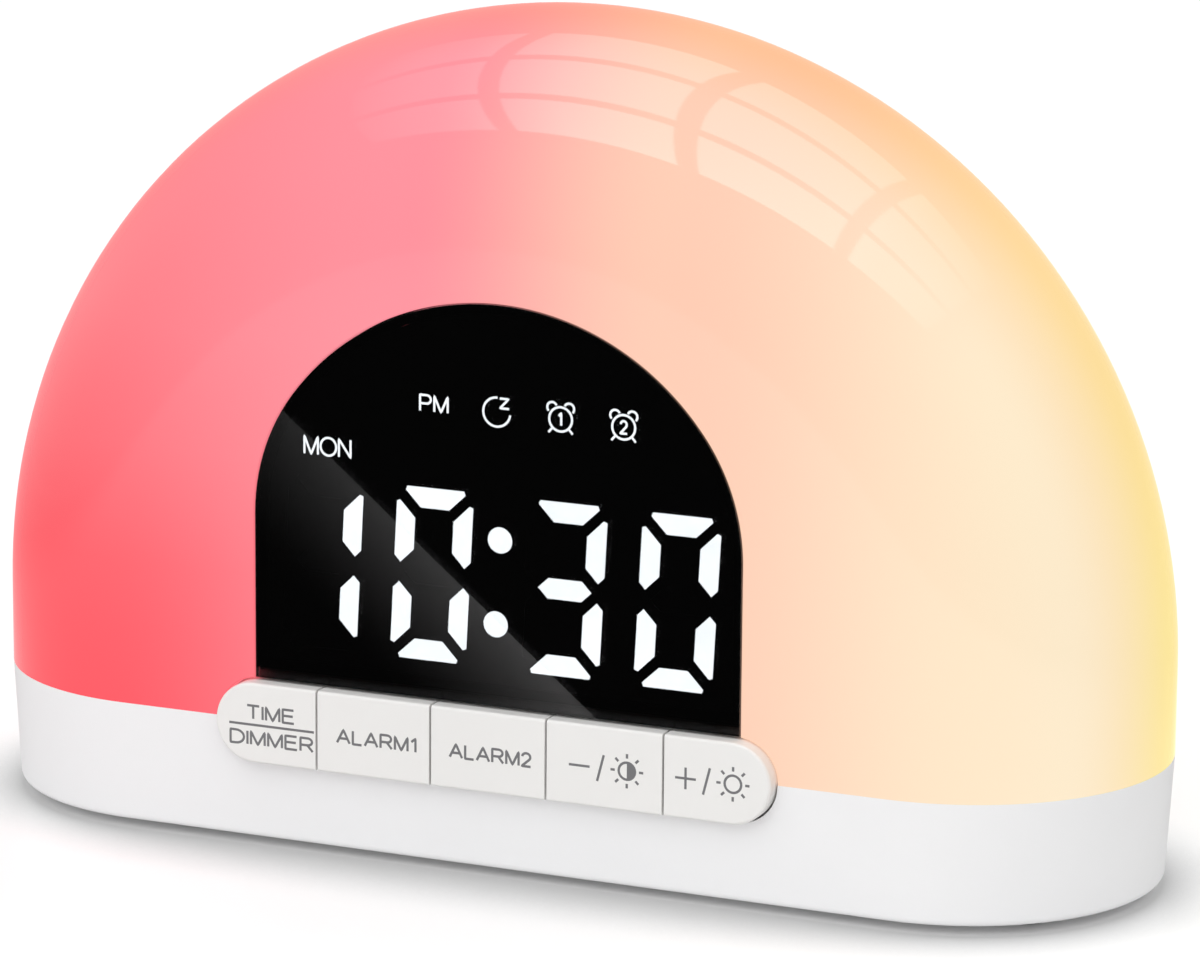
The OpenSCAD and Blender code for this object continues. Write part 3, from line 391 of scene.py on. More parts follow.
# %% Lit windows
SEGMENT_STRENGTH = 10.4
FACE_SKIN = 0.05  # mm behind the face that still shines, so that the sides stay dark
MILK = 3  # mm between a whiter and a bluer patch
lit, lit_surface = start_material("milky_acrylic_lit", Roughness=0.5, IOR=1.49)
place = node(lit, "TexCoord").outputs["Object"]
cloud = node(lit, "TexNoise", {"Vector": place, "Scale": 1 / (MILK * MM), "Detail": 1.0})
white = node(lit, "ValToRGB", {"Fac": cloud})
set_stops(white, (0, linear("#eef5f5")), (1, linear("#fafdfd")))
link(lit, white, lit_surface.inputs["Base Color"])
link(lit, white, lit_surface.inputs["Emission Color"])
depth = node(lit, "SeparateXYZ", {"Vector": place})
face_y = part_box("lit_segments")[0].y
facing = node(lit, "Math", {0: depth.outputs["Y"], 1: face_y + FACE_SKIN * MM}, operation="LESS_THAN")
shining = node(lit, "Math", {0: facing, 1: SEGMENT_STRENGTH}, operation="MULTIPLY")
link(lit, shining, lit_surface.inputs["Emission Strength"])
MATERIALS["lit"] = lit
print("finishes so far:", len(MATERIALS))

# %% [markdown]
# ## The glowing dome
#
# The dome is frosted white acrylic, lit from inside by coloured lamps: red at one end, warm white at
# the other. The light mixes inside, so the colour runs smoothly across the dome. The outside is
# polished and mirrors the room. Each colour is shared between the shader's own colour and its glow, so
# the dome also takes a little light from the studio.

# %% Dome colours
GLOW = 0.75
MIRRORED = 0.015
SUNRISE = [  # place across the dome in mm, and the colour of the light there
    (-90, "#ff747c"),  # red lamps
    (-14, "#ff949f"),  # rose, where the first warm light mixes in
    (26, "#ffcdb5"),  # peach
    (75, "#ffe8c9"),  # warm white lamps
]


def without_mirror(colour):
    """The colour that is left when the mirrored studio's share is taken off."""
    return (*(max(0.0, c - MIRRORED) for c in linear(colour)[:3]), 1.0)


dome, dome_surface = start_material("frosted_acrylic_glowing", IOR=1.49)
dome_surface.inputs["Emission Strength"].default_value = GLOW
place = node(dome, "TexCoord").outputs["Object"]
parts = node(dome, "SeparateXYZ", {"Vector": place})
half_width = dome_high.x * MM
across = node(
    dome, "MapRange", {"Value": parts.outputs["X"], "From Min": -half_width, "From Max": half_width}
)
sunrise = node(dome, "ValToRGB", {"Fac": across})
sunrise.color_ramp.interpolation = "EASE"
set_stops(sunrise, *(((x / dome_high.x + 1) / 2, without_mirror(colour)) for x, colour in SUNRISE))
print("colours across the dome:", len(SUNRISE))

# %% [markdown]
# The rim turns yellow towards the line where it is farthest out, and more orange at the top. This is
# painted shade: a deeper, more saturated colour along the crest, where the translucent wall is seen most
# edge on. The tints are shares of red, green and blue that are left.

# %% Warm rim with painted shade
CREST, WARM = 0.12, 0.78  # the warmest line behind the middle, and half the warm band, in rim radii
TINT_LOW, TINT_HIGH = (1.0, 1.0, 0.5, 1.0), (1.0, 0.82, 0.55, 1.0)
TINT_FROM, TINT_TO = 40, 112  # mm above the table
rim = node(dome, "Math", {0: parts.outputs["Y"], 1: middle_y * MM}, operation="SUBTRACT")
off_middle = node(dome, "Math", {0: rim}, operation="ABSOLUTE")
crest_line = node(dome, "Math", {0: rim, 1: CREST * half_depth * MM}, operation="SUBTRACT")
off_crest = node(dome, "Math", {0: crest_line}, operation="ABSOLUTE")
# Painted shade along the crest: the colour is multiplied down towards the crest line
crest_shade_mask = node(
    dome,
    "MapRange",
    {"Value": off_crest, "From Max": half_depth * WARM * MM, "To Min": 1.0, "To Max": 0.0},
    interpolation_type="SMOOTHSTEP",
)
high = node(
    dome,
    "MapRange",
    {"Value": parts.outputs["Z"], "From Min": TINT_FROM * MM, "From Max": TINT_TO * MM},
)
rim_tint = node(dome, "MixRGB", {"Fac": high, "Color1": TINT_LOW, "Color2": TINT_HIGH})
warm = node(
    dome, "MixRGB", {"Fac": crest_shade_mask, "Color1": sunrise, "Color2": rim_tint}, blend_type="MULTIPLY"
)
print("warm band in mm:", round(2 * half_depth * WARM, 1))

# %% [markdown]
# Half way round the rim, where the wall lies at a slant, a painted sheen makes the dome a little paler,
# up to where it closes at the top. It stands for a soft reflection of the room on the polished shell.

# %% Painted sheen on the slant
# Painted sheen: light added to the dome's colour and glow in place of the room's reflection
PAINTED_SHEEN = (0.0, 0.035, 0.03, 1.0)  # light that is added
SLANT_FROM, SLANT_TO = 0.35, 0.65  # from the middle of the rim, in rim radii
FADE_FROM, FADE_TO = 80, 108  # mm above the table
band = node(dome, "Math", {0: off_middle, 1: half_depth * MM}, operation="DIVIDE")
slant = node(dome, "ValToRGB", {"Fac": band})
slant.color_ramp.interpolation = "EASE"
set_stops(slant, (0, grey(0)), (SLANT_FROM, grey(0.1)), (SLANT_TO, grey(1)), (1, grey(0)))
below_crest = node(
    dome,
    "MapRange",
    {
        "Value": parts.outputs["Z"],
        "From Min": FADE_FROM * MM,
        "From Max": FADE_TO * MM,
        "To Min": 1.0,
        "To Max": 0.0,
    },
)
slanted = node(dome, "Math", {0: slant, 1: below_crest}, operation="MULTIPLY")
pale = node(dome, "MixRGB", {"Fac": slanted, "Color1": warm, "Color2": PAINTED_SHEEN}, blend_type="ADD")
print("paler below", FADE_TO, "mm")

# %% [markdown]
# The red lamps sit low at the left end, so the red is deepest there. It fades towards the middle and, a
# little above the lamps, quickly with height.

# %% Deepest red
DEEP = (1.0, 0.44, 0.49, 1.0)  # shares of red, green and blue that are left where it is deepest
RED_FROM, RED_TO = -10, -60  # mm across the dome
RED_LOW, RED_HIGH = 20, 90  # mm above the table
# How deep the red is from the lower height to the upper one
RED_LEVELS = ((0, 1), (0.15, 0.92), (0.3, 0.78), (0.55, 0.3), (0.8, 0.02), (1, 0))
left = node(
    dome,
    "MapRange",
    {"Value": parts.outputs["X"], "From Min": RED_FROM * MM, "From Max": RED_TO * MM},
    interpolation_type="SMOOTHSTEP",
)
height = node(
    dome, "MapRange", {"Value": parts.outputs["Z"], "From Min": RED_LOW * MM, "From Max": RED_HIGH * MM}
)
low = node(dome, "ValToRGB", {"Fac": height})
set_stops(low, *((at, grey(level)) for at, level in RED_LEVELS))
deepest = node(dome, "Math", {0: left, 1: low}, operation="MULTIPLY")
deep = node(dome, "MixRGB", {"Fac": deepest, "Color1": pale, "Color2": DEEP}, blend_type="MULTIPLY")
share = node(
    dome, "MixRGB", {"Fac": 1.0, "Color1": deep, "Color2": grey(1 - GLOW)}, blend_type="MULTIPLY"
)
link(dome, share, dome_surface.inputs["Base Color"])
link(dome, deep, dome_surface.inputs["Emission Color"])
print("glow", GLOW, "and own colour", 1 - GLOW)

# %% [markdown]
# The outside is polished, with the slight waviness of a moulded shell and a little haze.

# %% Polish
WAVINESS, HAZE = 35, 6  # mm from wave to wave, and from patch to patch of haze
waves = node(dome, "TexNoise", {"Vector": place, "Scale": 1 / (WAVINESS * MM), "Detail": 1.0})
ripple = node(dome, "Bump", {"Height": waves, "Strength": 0.3, "Distance": 0.1 * MM})
link(dome, ripple, dome_surface.inputs["Normal"])
haze = node(dome, "TexNoise", {"Vector": place, "Scale": 1 / (HAZE * MM), "Detail": 2.0})
polish = node(dome, "MapRange", {"Value": haze, "To Min": 0.03, "To Max": 0.06})
link(dome, polish, dome_surface.inputs["Roughness"])
MATERIALS["diffuser"] = dome
print("finishes:", len(MATERIALS))

# %% [markdown]
# ## Dressing the solids
#
# The record says which finish each solid takes, so the finishes above are put on by name.

# %% Dress the solids
for row in frame["record"]["subparts"]:
    for slot in NODES[row["node"]].material_slots:
        slot.material = MATERIALS[row["material_slot"]]

# %% [markdown]
# ## The dome as one moulded shell
#
# The dome is what the eye sees first, and its long highlights show every flat facet. It is modelled
# again with a finer mesh, as it would be drawn on paper: half of the rim's circle is spun round the
# middle of the front, the open edge is drawn down to the joint, and the shell gets its wall. A vertex
# can be spun into an arc, so the cutter for the window is outlined the same way: up the side, round the
# shoulder, over the crest and down again. A small bevel eases the edge of the window, where the shell
# catches the light.

# %% Outline helpers
WINDOW_GAP = 0.15  # clearance round the window, in mm as all of these
SHOULDER_R = 30.0
SPRING_RISE = 30.7  # from the joint up to where the shoulders start
KEY_GAP = 0.3  # clearance round the key bar
KEY_LIP = 1.0  # how far a key's hidden flange reaches beyond its cap
WALL = 2.2
OVERCUT = 1  # a cutter reaches this far past what it cuts
WELD, FINE_WELD = 0.01, 0.001  # points that lie closer than this are one
ARC_STEPS = 48  # in half a circle


def first_vertex(name, x, y, z):
    """Starts a piece as one selected vertex, in edit mode. Places are in mm."""
    bpy.ops.object.select_all(action="DESELECT")
    bpy.ops.mesh.primitive_plane_add(size=2 * MM)
    bpy.context.object.name = name
    bpy.ops.object.mode_set(mode="EDIT")
    bpy.ops.mesh.select_mode(type="VERT")
    bpy.ops.mesh.merge(type="CENTER")
    bpy.ops.transform.translate(value=(x * MM, y * MM, z * MM))
    return bpy.context.object


def draw(x, y, z):
    """Draws on from what is selected, by that many mm."""
    bpy.ops.mesh.extrude_region_move(TRANSFORM_OT_translate={"value": (x * MM, y * MM, z * MM)})


def arc(x, y, z, degrees, axis, steps):
    """Spins what is selected round a centre: from right to top, seen from the front."""
    centre = (x * MM, y * MM, z * MM)
    bpy.ops.mesh.spin(steps=steps, angle=math.radians(degrees), center=centre, axis=axis)


def arch_outline(name, y, grow, low):
    """The window's outline on the plane y, grown by that many mm, with its foot at low, as one face."""
    half = lens_high.x + grow
    spring = joint_z + SPRING_RISE
    shoulder = lens_high.x + WINDOW_GAP - SHOULDER_R
    rise = lens_high.z + WINDOW_GAP - spring - SHOULDER_R
    drop = (shoulder**2 - rise**2) / (2 * rise)
    turn = math.degrees(math.atan2(drop, shoulder))
    piece = first_vertex(name, half, y, low)
    draw(0, 0, spring - low)
    arc(shoulder, y, spring, turn, (0, 1, 0), ARC_STEPS // 2)
    arc(0, y, spring - drop, 180 - 2 * turn, (0, 1, 0), ARC_STEPS * 2)
    arc(-shoulder, y, spring, turn, (0, 1, 0), ARC_STEPS // 2)
    draw(0, 0, low - spring)
    bpy.ops.mesh.select_all(action="SELECT")
    bpy.ops.mesh.remove_doubles(threshold=FINE_WELD * MM)
    bpy.ops.mesh.edge_face_add()
    return piece


def apply_modifier(piece, kind, **settings):
    """Adds a modifier with its settings and applies it at once."""
    select_only(piece)
    bpy.ops.object.modifier_add(type=kind)
    modifier = piece.modifiers[-1]
    for field, value in settings.items():
        setattr(modifier, field, value)
    bpy.ops.object.modifier_apply(modifier=modifier.name)


def turn_outwards():
    """Turns all faces of a piece outwards and leaves edit mode."""
    bpy.ops.mesh.select_all(action="SELECT")
    bpy.ops.mesh.normals_make_consistent(inside=False)
    bpy.ops.object.mode_set(mode="OBJECT")


def cut(piece, cutter):
    """Takes the cutter out of the piece, and the cutter away."""
    apply_modifier(piece, "BOOLEAN", operation="DIFFERENCE", solver="EXACT", object=cutter)
    bpy.data.objects.remove(cutter)


# %% Shell of the dome
shell = first_vertex("dome_shell", half_run, front_y, dome_z)
arc(half_run, middle_y, dome_z, -180, (0, 0, 1), ARC_STEPS)
draw(-half_run, 0, 0)
bpy.ops.mesh.select_all(action="DESELECT")
bpy.ops.object.mode_set(mode="OBJECT")
for vertex in shell.data.vertices:
    vertex.select = (vertex.co - Vector((half_run, front_y, dome_z)) * MM).length < WELD * MM
bpy.ops.object.mode_set(mode="EDIT")
draw(-half_run, 0, 0)
bpy.ops.mesh.select_all(action="SELECT")
arc(0, middle_y, dome_z, 180, (0, 1, 0), 2 * ARC_STEPS)
bpy.ops.mesh.select_all(action="SELECT")
bpy.ops.mesh.remove_doubles(threshold=WELD * MM)
bpy.ops.mesh.select_all(action="DESELECT")
bpy.ops.mesh.select_mode(type="EDGE")
bpy.ops.mesh.select_non_manifold()
draw(0, 0, joint_z - dome_z)
bpy.ops.mesh.select_all(action="SELECT")
bpy.ops.mesh.remove_doubles(threshold=WELD * MM)
turn_outwards()
apply_modifier(shell, "SOLIDIFY", thickness=WALL * MM, offset=-1, use_even_offset=True)
print("shell faces:", len(shell.data.polygons))

# %% Window and key opening
window_cutter = arch_outline("window_cutter", front_y - OVERCUT, WINDOW_GAP, joint_z - 2 * OVERCUT)
draw(0, WALL + 2 * OVERCUT, 0)
turn_outwards()
cut(shell, window_cutter)

# The opening for the keys is the bar's outline, a little larger all round
bar_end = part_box("plus_key")[1].x / MM - KEY_LIP
bar_r = (keys_high.z - keys_low.z) / 2 - KEY_LIP
cut_r = bar_r + KEY_GAP
bar_run = bar_end - bar_r
key_cutter = first_vertex("key_cutter", bar_run, front_y - OVERCUT, joint_z - cut_r)
arc(bar_run, front_y - OVERCUT, joint_z, 180, (0, 1, 0), ARC_STEPS)
draw(-2 * bar_run, 0, 0)
arc(-bar_run, front_y - OVERCUT, joint_z, 180, (0, 1, 0), ARC_STEPS)
bpy.ops.mesh.select_all(action="SELECT")
bpy.ops.mesh.edge_face_add()
draw(0, WALL + 2 * OVERCUT, 0)
turn_outwards()
cut(shell, key_cutter)
print(f"key bar radius {bar_r:.2f}, half length {bar_end:.2f} mm")
print("shell faces:", len(shell.data.polygons))

# %% Eased edge of the openings
EASE = 0.2
FACES_SIDEWAYS = 0.1  # a face whose normal has less of Y than this cuts across the wall
SHARP = math.radians(35)  # an edge that turns by more than this stays sharp
wall_edges = set()
for face in shell.data.polygons:
    across_wall = abs(face.normal.y) < FACES_SIDEWAYS and face.center.y < (front_y + WALL) * MM
    in_width = abs(face.center.x) < (bar_end + OVERCUT) * MM
    in_height = (joint_z + WELD) * MM < face.center.z < (lens_high.z + OVERCUT) * MM
    if across_wall and in_width and in_height:
        wall_edges.update(tuple(sorted(edge)) for edge in face.edge_keys)
for edge in shell.data.edges:
    on_front = all(shell.data.vertices[v].co.y < (front_y + WELD) * MM for v in edge.vertices)
    edge.select = on_front and tuple(sorted(edge.vertices)) in wall_edges
for vertex in shell.data.vertices:
    vertex.select = False
for face in shell.data.polygons:
    face.select = False
select_only(shell)
bpy.ops.object.mode_set(mode="EDIT")
bpy.ops.mesh.select_mode(type="EDGE")
bpy.ops.mesh.bevel(offset=EASE * MM, segments=3, profile=0.5)
bpy.ops.object.mode_set(mode="OBJECT")
bpy.ops.object.shade_smooth_by_angle(angle=SHARP)
apply_modifier(shell, "WEIGHTED_NORMAL", keep_sharp=True)
shell.data.materials.clear()
shell.data.materials.append(MATERIALS["diffuser"])
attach(shell, "casing")
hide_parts("dome_diffuser")
print("dome faces:", len(shell.data.polygons))

# %% [markdown]
# ## Print and pictograms
#
# The keys carry grey pad-printed words and signs, and the window shows a few small lit signs: PM, the
# day, a sleep sign and two alarm clocks. All of them are thin lines of one width, as a draughtsman's
# pen draws them. So each is drawn as centre lines: a point is extruded from corner to corner and spun
# round where the line bends. The lines are turned into curves, which give them the pen's width, and
# then into a mesh, which is pressed flat to the thickness of a layer of ink.
#
# A letter is written in a box one unit high. In its strokes a pair is the next corner, and a triple is
# an arc: its centre and its turn in degrees, anticlockwise.

# %% Pen strokes
LETTERS = {
    "A": (0.86, [[(0, 0), (0.43, 1), (0.86, 0)], [(0.14, 0.34), (0.72, 0.34)]]),
    "D": (0.84, [[(0.34, 1), (0, 1), (0, 0), (0.34, 0), (0.34, 0.5, 180)]]),
    "E": (0.72, [[(0.7, 1), (0, 1), (0, 0), (0.72, 0)], [(0, 0.53), (0.65, 0.53)]]),
    "I": (0.0, [[(0, 0), (0, 1)]]),
    "L": (0.6, [[(0, 1), (0, 0), (0.6, 0)]]),
    "M": (0.86, [[(0, 0), (0, 1), (0.43, 0), (0.86, 1), (0.86, 0)]]),
    "N": (0.74, [[(0, 0), (0, 1), (0.74, 0), (0.74, 1)]]),
    "O": (0.9, [[(0.45, 0), (0.45, 0.5, 360)]]),
    "P": (0.7, [[(0, 0), (0, 1), (0.43, 1), (0.43, 0.735, -180), (0, 0.47)]]),
    "R": (0.76, [[(0, 0), (0, 1), (0.45, 1), (0.45, 0.735, -180), (0, 0.47)], [(0.42, 0.47), (0.76, 0)]]),
    "T": (0.78, [[(0, 1), (0.78, 1)], [(0.39, 1), (0.39, 0)]]),
    "1": (0.36, [[(0.04, 0.74), (0.32, 1), (0.32, 0)]]),
    "2": (0.62, [[(0.03, 0.74), (0.31, 0.71, -215), (0, 0), (0.62, 0)]]),
}
LETTER_SPACE = 0.22
PRINT_T = 0.03  # mm, the thickness of the ink
CORNER = 0.08  # share of a line that is kept straight at each of its ends
DEGREES_A_STEP = 15
AS_DRAWN = (0, 0, 1, 1)


def word(text, left, low, right, high):
    """Strokes of a word that fills the box from (left, low) to (right, high), in mm."""
    strokes, pen_x = [], 0.0
    for letter in text:
        width, lines = LETTERS[letter]
        for line in lines:
            strokes.append([(step[0] + pen_x, *step[1:]) for step in line])
        pen_x += width + LETTER_SPACE
    return strokes, (left, low, (right - left) / (pen_x - LETTER_SPACE), high - low)


def drawn(name, parts, width, y, body, finish):
    """Draws strokes flat, gives them a pen's width, presses them flat and stands them up at y."""
    pieces = []
    for strokes, (left, low, wide, tall) in parts:
        for first, *steps in strokes:
            x, z = first
            pieces.append(first_vertex(name, x, z, 0))
            for step in steps:
                if len(step) == 2:
                    for share in (CORNER, 1 - 2 * CORNER, CORNER):
                        draw(share * (step[0] - x), share * (step[1] - z), 0)
                    x, z = step
                else:
                    cx, cz, turn = step
                    arc(cx, cz, 0, -turn, (0, 0, 1), max(4, abs(turn) // DEGREES_A_STEP))
                    swing = complex(x - cx, z - cz) * complex(
                        math.cos(math.radians(turn)), math.sin(math.radians(turn))
                    )
                    x, z = cx + swing.real, cz + swing.imag
            bpy.ops.mesh.select_all(action="SELECT")
            bpy.ops.transform.resize(value=(wide, tall, 1), center_override=(0, 0, 0))
            bpy.ops.transform.translate(value=(left * MM, low * MM, 0))
            bpy.ops.mesh.remove_doubles(threshold=FINE_WELD * MM)
            bpy.ops.object.mode_set(mode="OBJECT")
    select_only(*pieces)
    bpy.ops.object.join()
    bpy.ops.object.convert(target="CURVE")
    lines = bpy.context.object
    lines.data.dimensions = "3D"
    lines.data.bevel_depth = width / 2 * MM
    lines.data.bevel_resolution = 2
    lines.data.use_fill_caps = True
    bpy.ops.object.convert(target="MESH")
    piece = bpy.context.object
    piece.name = name
    piece.scale = (1, 1, PRINT_T / width)
    piece.rotation_euler = (math.pi / 2, 0, 0)
    piece.location = (0, y * MM, 0)
    bpy.ops.object.transform_apply()
    piece.data.materials.clear()
    piece.data.materials.append(finish)
    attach(piece, body)


# %% Key legends
SUN_R, SUN_NEAR, SUN_FAR = 1.25, 1.85, 2.5  # its ring, and where a ray starts and ends
DIMMER_SUN, BRIGHT_SUN = (21.5, 19.43), (37.59, 19.5)
KEY_PEN, SIGN_PEN = 0.37, 0.34  # mm


def sun(x, y):
    """A sun sign: a ring with eight rays."""
    rays = [[(x + SUN_R, y), (x, y, 360)]]
    for k in range(8):
        turn = math.radians(45 * k)
        rays.append(
            [(x + reach * math.cos(turn), y + reach * math.sin(turn)) for reach in (SUN_NEAR, SUN_FAR)]
        )
    return rays


ink = moulded("grey_pad_print", "#717173", tone=0.04, rough=0.5, grain=0.2, depth=0.005, IOR=1.5)
legends = {
    "time_dimmer": [
        word("TIME", -38.1, 20.15, -30.6, 22.1),
        ([[(-41.0, 19.25), (-27.4, 19.25)]], AS_DRAWN),
        word("DIMMER", -40.8, 16.3, -27.6, 18.25),
    ],
    "alarm1": [word("ALARM1", -23.7, 18.25, -11.2, 20.2)],
    "alarm2": [word("ALARM2", -5.9, 18.25, 6.7, 20.2)],
    "minus": [
        ([[(12.6, 19.4), (15.8, 19.4)], [(16.95, 17.45), (17.95, 21.35)]], AS_DRAWN),
        (sun(*DIMMER_SUN), AS_DRAWN),
    ],
    "plus": [
        ([[(28.85, 19.47), (32.0, 19.47)], [(30.43, 17.9), (30.43, 21.05)]], AS_DRAWN),
        ([[(33.1, 17.45), (34.1, 21.4)]], AS_DRAWN),
        (sun(*BRIGHT_SUN), AS_DRAWN),
    ],
}
for key, parts in legends.items():
    drawn(key + "_legend", parts, KEY_PEN, key_face_y, key + "_key", ink)
print("legends:", len(legends))

# %% Half sun
# The right half of the dimmer's sun is filled: a thin disc is cut down the middle
HALF_SUN_R = 1.3
bpy.ops.object.select_all(action="DESELECT")
bpy.ops.mesh.primitive_cylinder_add(
    vertices=48,
    radius=HALF_SUN_R * MM,
    depth=PRINT_T * MM,
    location=(DIMMER_SUN[0] * MM, key_face_y * MM, DIMMER_SUN[1] * MM),
    rotation=(math.pi / 2, 0, 0),
)
half_sun = bpy.context.object
half_sun.name = "minus_legend_half_sun"
bpy.ops.object.transform_apply()
bpy.ops.object.mode_set(mode="EDIT")
bpy.ops.mesh.select_all(action="SELECT")
bpy.ops.mesh.bisect(
    plane_co=(DIMMER_SUN[0] * MM, 0, 0), plane_no=(1, 0, 0), clear_inner=True, use_fill=True
)
bpy.ops.object.mode_set(mode="OBJECT")
half_sun.data.materials.append(ink)
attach(half_sun, "minus_key")
print("half sun faces:", len(half_sun.data.polygons))


# %% Lit signs behind the window
def alarm_sign(x, y):
    """A small alarm clock: case, two bells and two legs."""
    case = [[(x + 1.75, y), (x, y, 360)]]
    for side in (-1, 1):
        case.append([(x + side * 0.62, y + 1.95), (x + side * 1.3, y + 1.62, side * -200)])
        case.append([(x + side * 1.25, y - 1.3), (x + side * 1.85, y - 2.0)])
    return case


signs = [
    word("PM", -12.1, 67.5, -7.8, 69.8),
    word("MON", -30.3, 59.5, -23.0, 62.1),
    ([[(-0.1, 70.5), (-0.2, 68.4, 265)]], AS_DRAWN),
    ([[(0.25, 70.4), (1.6, 70.4), (0.3, 69.0), (1.7, 69.0)]], AS_DRAWN),
    (alarm_sign(9.6, 68.3), AS_DRAWN),
    (alarm_sign(19.2, 68.1), AS_DRAWN),
    word("1", 9.25, 67.4, 9.75, 69.2),
    word("2", 18.7, 67.2, 19.7, 69.0),
]
drawn("lit_signs", signs, SIGN_PEN, mask_low.y - PRINT_T, "casing", lit)
print("parts of the lit signs:", len(signs))

# %% [markdown]
# ## Studio
#
# The clock stands on a sheet of white vinyl, in an even white room with one softbox high in front. A
# white floor seen straight on is white, but it would wash out the shadows if it gave all of that light
# back. So Light Path lets the camera see one floor, and the light that bounces find a duller one. Close
# to the base the room's light can't reach the floor, and Ambient Occlusion turns it grey there.

# %% Floor
BOUNCE = grey(0.74)
FLOOR_LIFT = 0.08  # glow that the camera alone sees
SHADE_REACH, BLOTCH = 30, 60  # mm: reach of the contact shade, and between faint blotches
# In mirrors the floor turns dark between two distances from a point before the clock
DIM_CENTRE = (0, -250 * MM, 0)
DIM_FROM, DIM_TO = 240, 420  # mm
DIM_FLOOR = grey(0.3)
# How open the floor is to the room at the base's edge, where the shade is deepest, and where it ends
EDGE_AT, DARKEST_AT, OPEN_AT = 0.1, 0.48, 0.84
DARKEST = 0.56
vinyl, vinyl_surface = start_material("white_studio_floor", Roughness=0.25, IOR=1.15)
place = node(vinyl, "TexCoord").outputs["Object"]
sheen = node(vinyl, "TexNoise", {"Vector": place, "Scale": 1 / (BLOTCH * MM), "Detail": 2.0})
white = node(vinyl, "ValToRGB", {"Fac": sheen})
set_stops(white, (0, linear("#f8f8f8")), (1, linear("#fafafa")))
rays = node(vinyl, "LightPath")
crevice = node(vinyl, "AmbientOcclusion", {"Distance": SHADE_REACH * MM}, samples=16)
contact = node(vinyl, "ValToRGB", {"Fac": crevice.outputs["AO"]})
contact.color_ramp.interpolation = "EASE"
set_stops(contact, (EDGE_AT, grey(1)), (DARKEST_AT, grey(DARKEST)), (OPEN_AT, grey(1)))
under_clock = node(
    vinyl, "MixRGB", {"Fac": 1.0, "Color1": white, "Color2": contact}, blend_type="MULTIPLY"
)
shaded = node(
    vinyl, "MixRGB", {"Fac": rays.outputs["Is Camera Ray"], "Color1": BOUNCE, "Color2": under_clock}
)
away = node(vinyl, "VectorMath", {0: place, 1: DIM_CENTRE}, operation="DISTANCE")
dim = node(
    vinyl,
    "MapRange",
    {"Value": away.outputs["Value"], "From Min": DIM_FROM * MM, "From Max": DIM_TO * MM},
    interpolation_type="SMOOTHSTEP",
)
dim_in_mirror = node(vinyl, "Math", {0: dim, 1: rays.outputs["Is Glossy Ray"]}, operation="MULTIPLY")
seen = node(vinyl, "MixRGB", {"Fac": dim_in_mirror, "Color1": shaded, "Color2": DIM_FLOOR})
link(vinyl, seen, vinyl_surface.inputs["Base Color"])
lifted = node(vinyl, "Math", {0: rays.outputs["Is Camera Ray"], 1: FLOOR_LIFT}, operation="MULTIPLY")
link(vinyl, white, vinyl_surface.inputs["Emission Color"])
link(vinyl, lifted, vinyl_surface.inputs["Emission Strength"])
bpy.ops.object.select_all(action="DESELECT")
bpy.ops.mesh.primitive_plane_add(size=12)
floor = bpy.context.object
floor.name = "studio_floor"
floor.data.materials.append(vinyl)
print("floor shade reaches", SHADE_REACH, "mm")

# %% [markdown]
# The room is white where the camera looks straight at it, also through the window. It lights the clock
# a little more strongly than that, and is dim in mirrors, so that the polished dome keeps its colour.

# %% Room
AMBIENT = 1.18
IN_MIRROR = 0.3
world = bpy.data.worlds.new("white_room")
world.use_nodes = True
bpy.context.scene.world = world
background = world.node_tree.nodes["Background"]
rays = node(world, "LightPath")
seen_straight = node(
    world,
    "Math",
    {0: rays.outputs["Is Camera Ray"], 1: rays.outputs["Is Transmission Ray"]},
    operation="MAXIMUM",
)
plain = node(world, "MapRange", {"Value": seen_straight, "To Min": AMBIENT, "To Max": 1.0})
strength = node(
    world, "MapRange", {"Value": rays.outputs["Is Glossy Ray"], "To Min": plain, "To Max": IN_MIRROR}
)
background.inputs["Color"].default_value = (1, 1, 1, 1)
link(world, strength, background.inputs["Strength"])
print("room light:", AMBIENT, "in mirrors:", IN_MIRROR)

# %% [markdown]
# The softbox is a large square light above and in front. It isn't seen in reflections, where it would
# lay a hard white square on the dome. Two small black flags, unseen themselves, stand beyond the ends
# of the base and keep some of the room's light off them, which shades its round ends.

# %% Softbox
SOFTBOX_AT = Vector((0.1, -1.2, 1.3))
SOFTBOX_SIZE, SOFTBOX_WATTS = 1.2, 5
softbox_light = bpy.data.lights.new("overhead_softbox", "AREA")
softbox_light.size = SOFTBOX_SIZE
softbox_light.energy = SOFTBOX_WATTS
softbox = bpy.data.objects.new("overhead_softbox", softbox_light)
bpy.context.scene.collection.objects.link(softbox)
softbox.location = SOFTBOX_AT
softbox.rotation_euler = (CLOCK_MIDDLE - SOFTBOX_AT).to_track_quat("-Z", "Y").to_euler()
softbox.visible_glossy = False
print("softbox distance in metres:", round((CLOCK_MIDDLE - SOFTBOX_AT).length, 2))

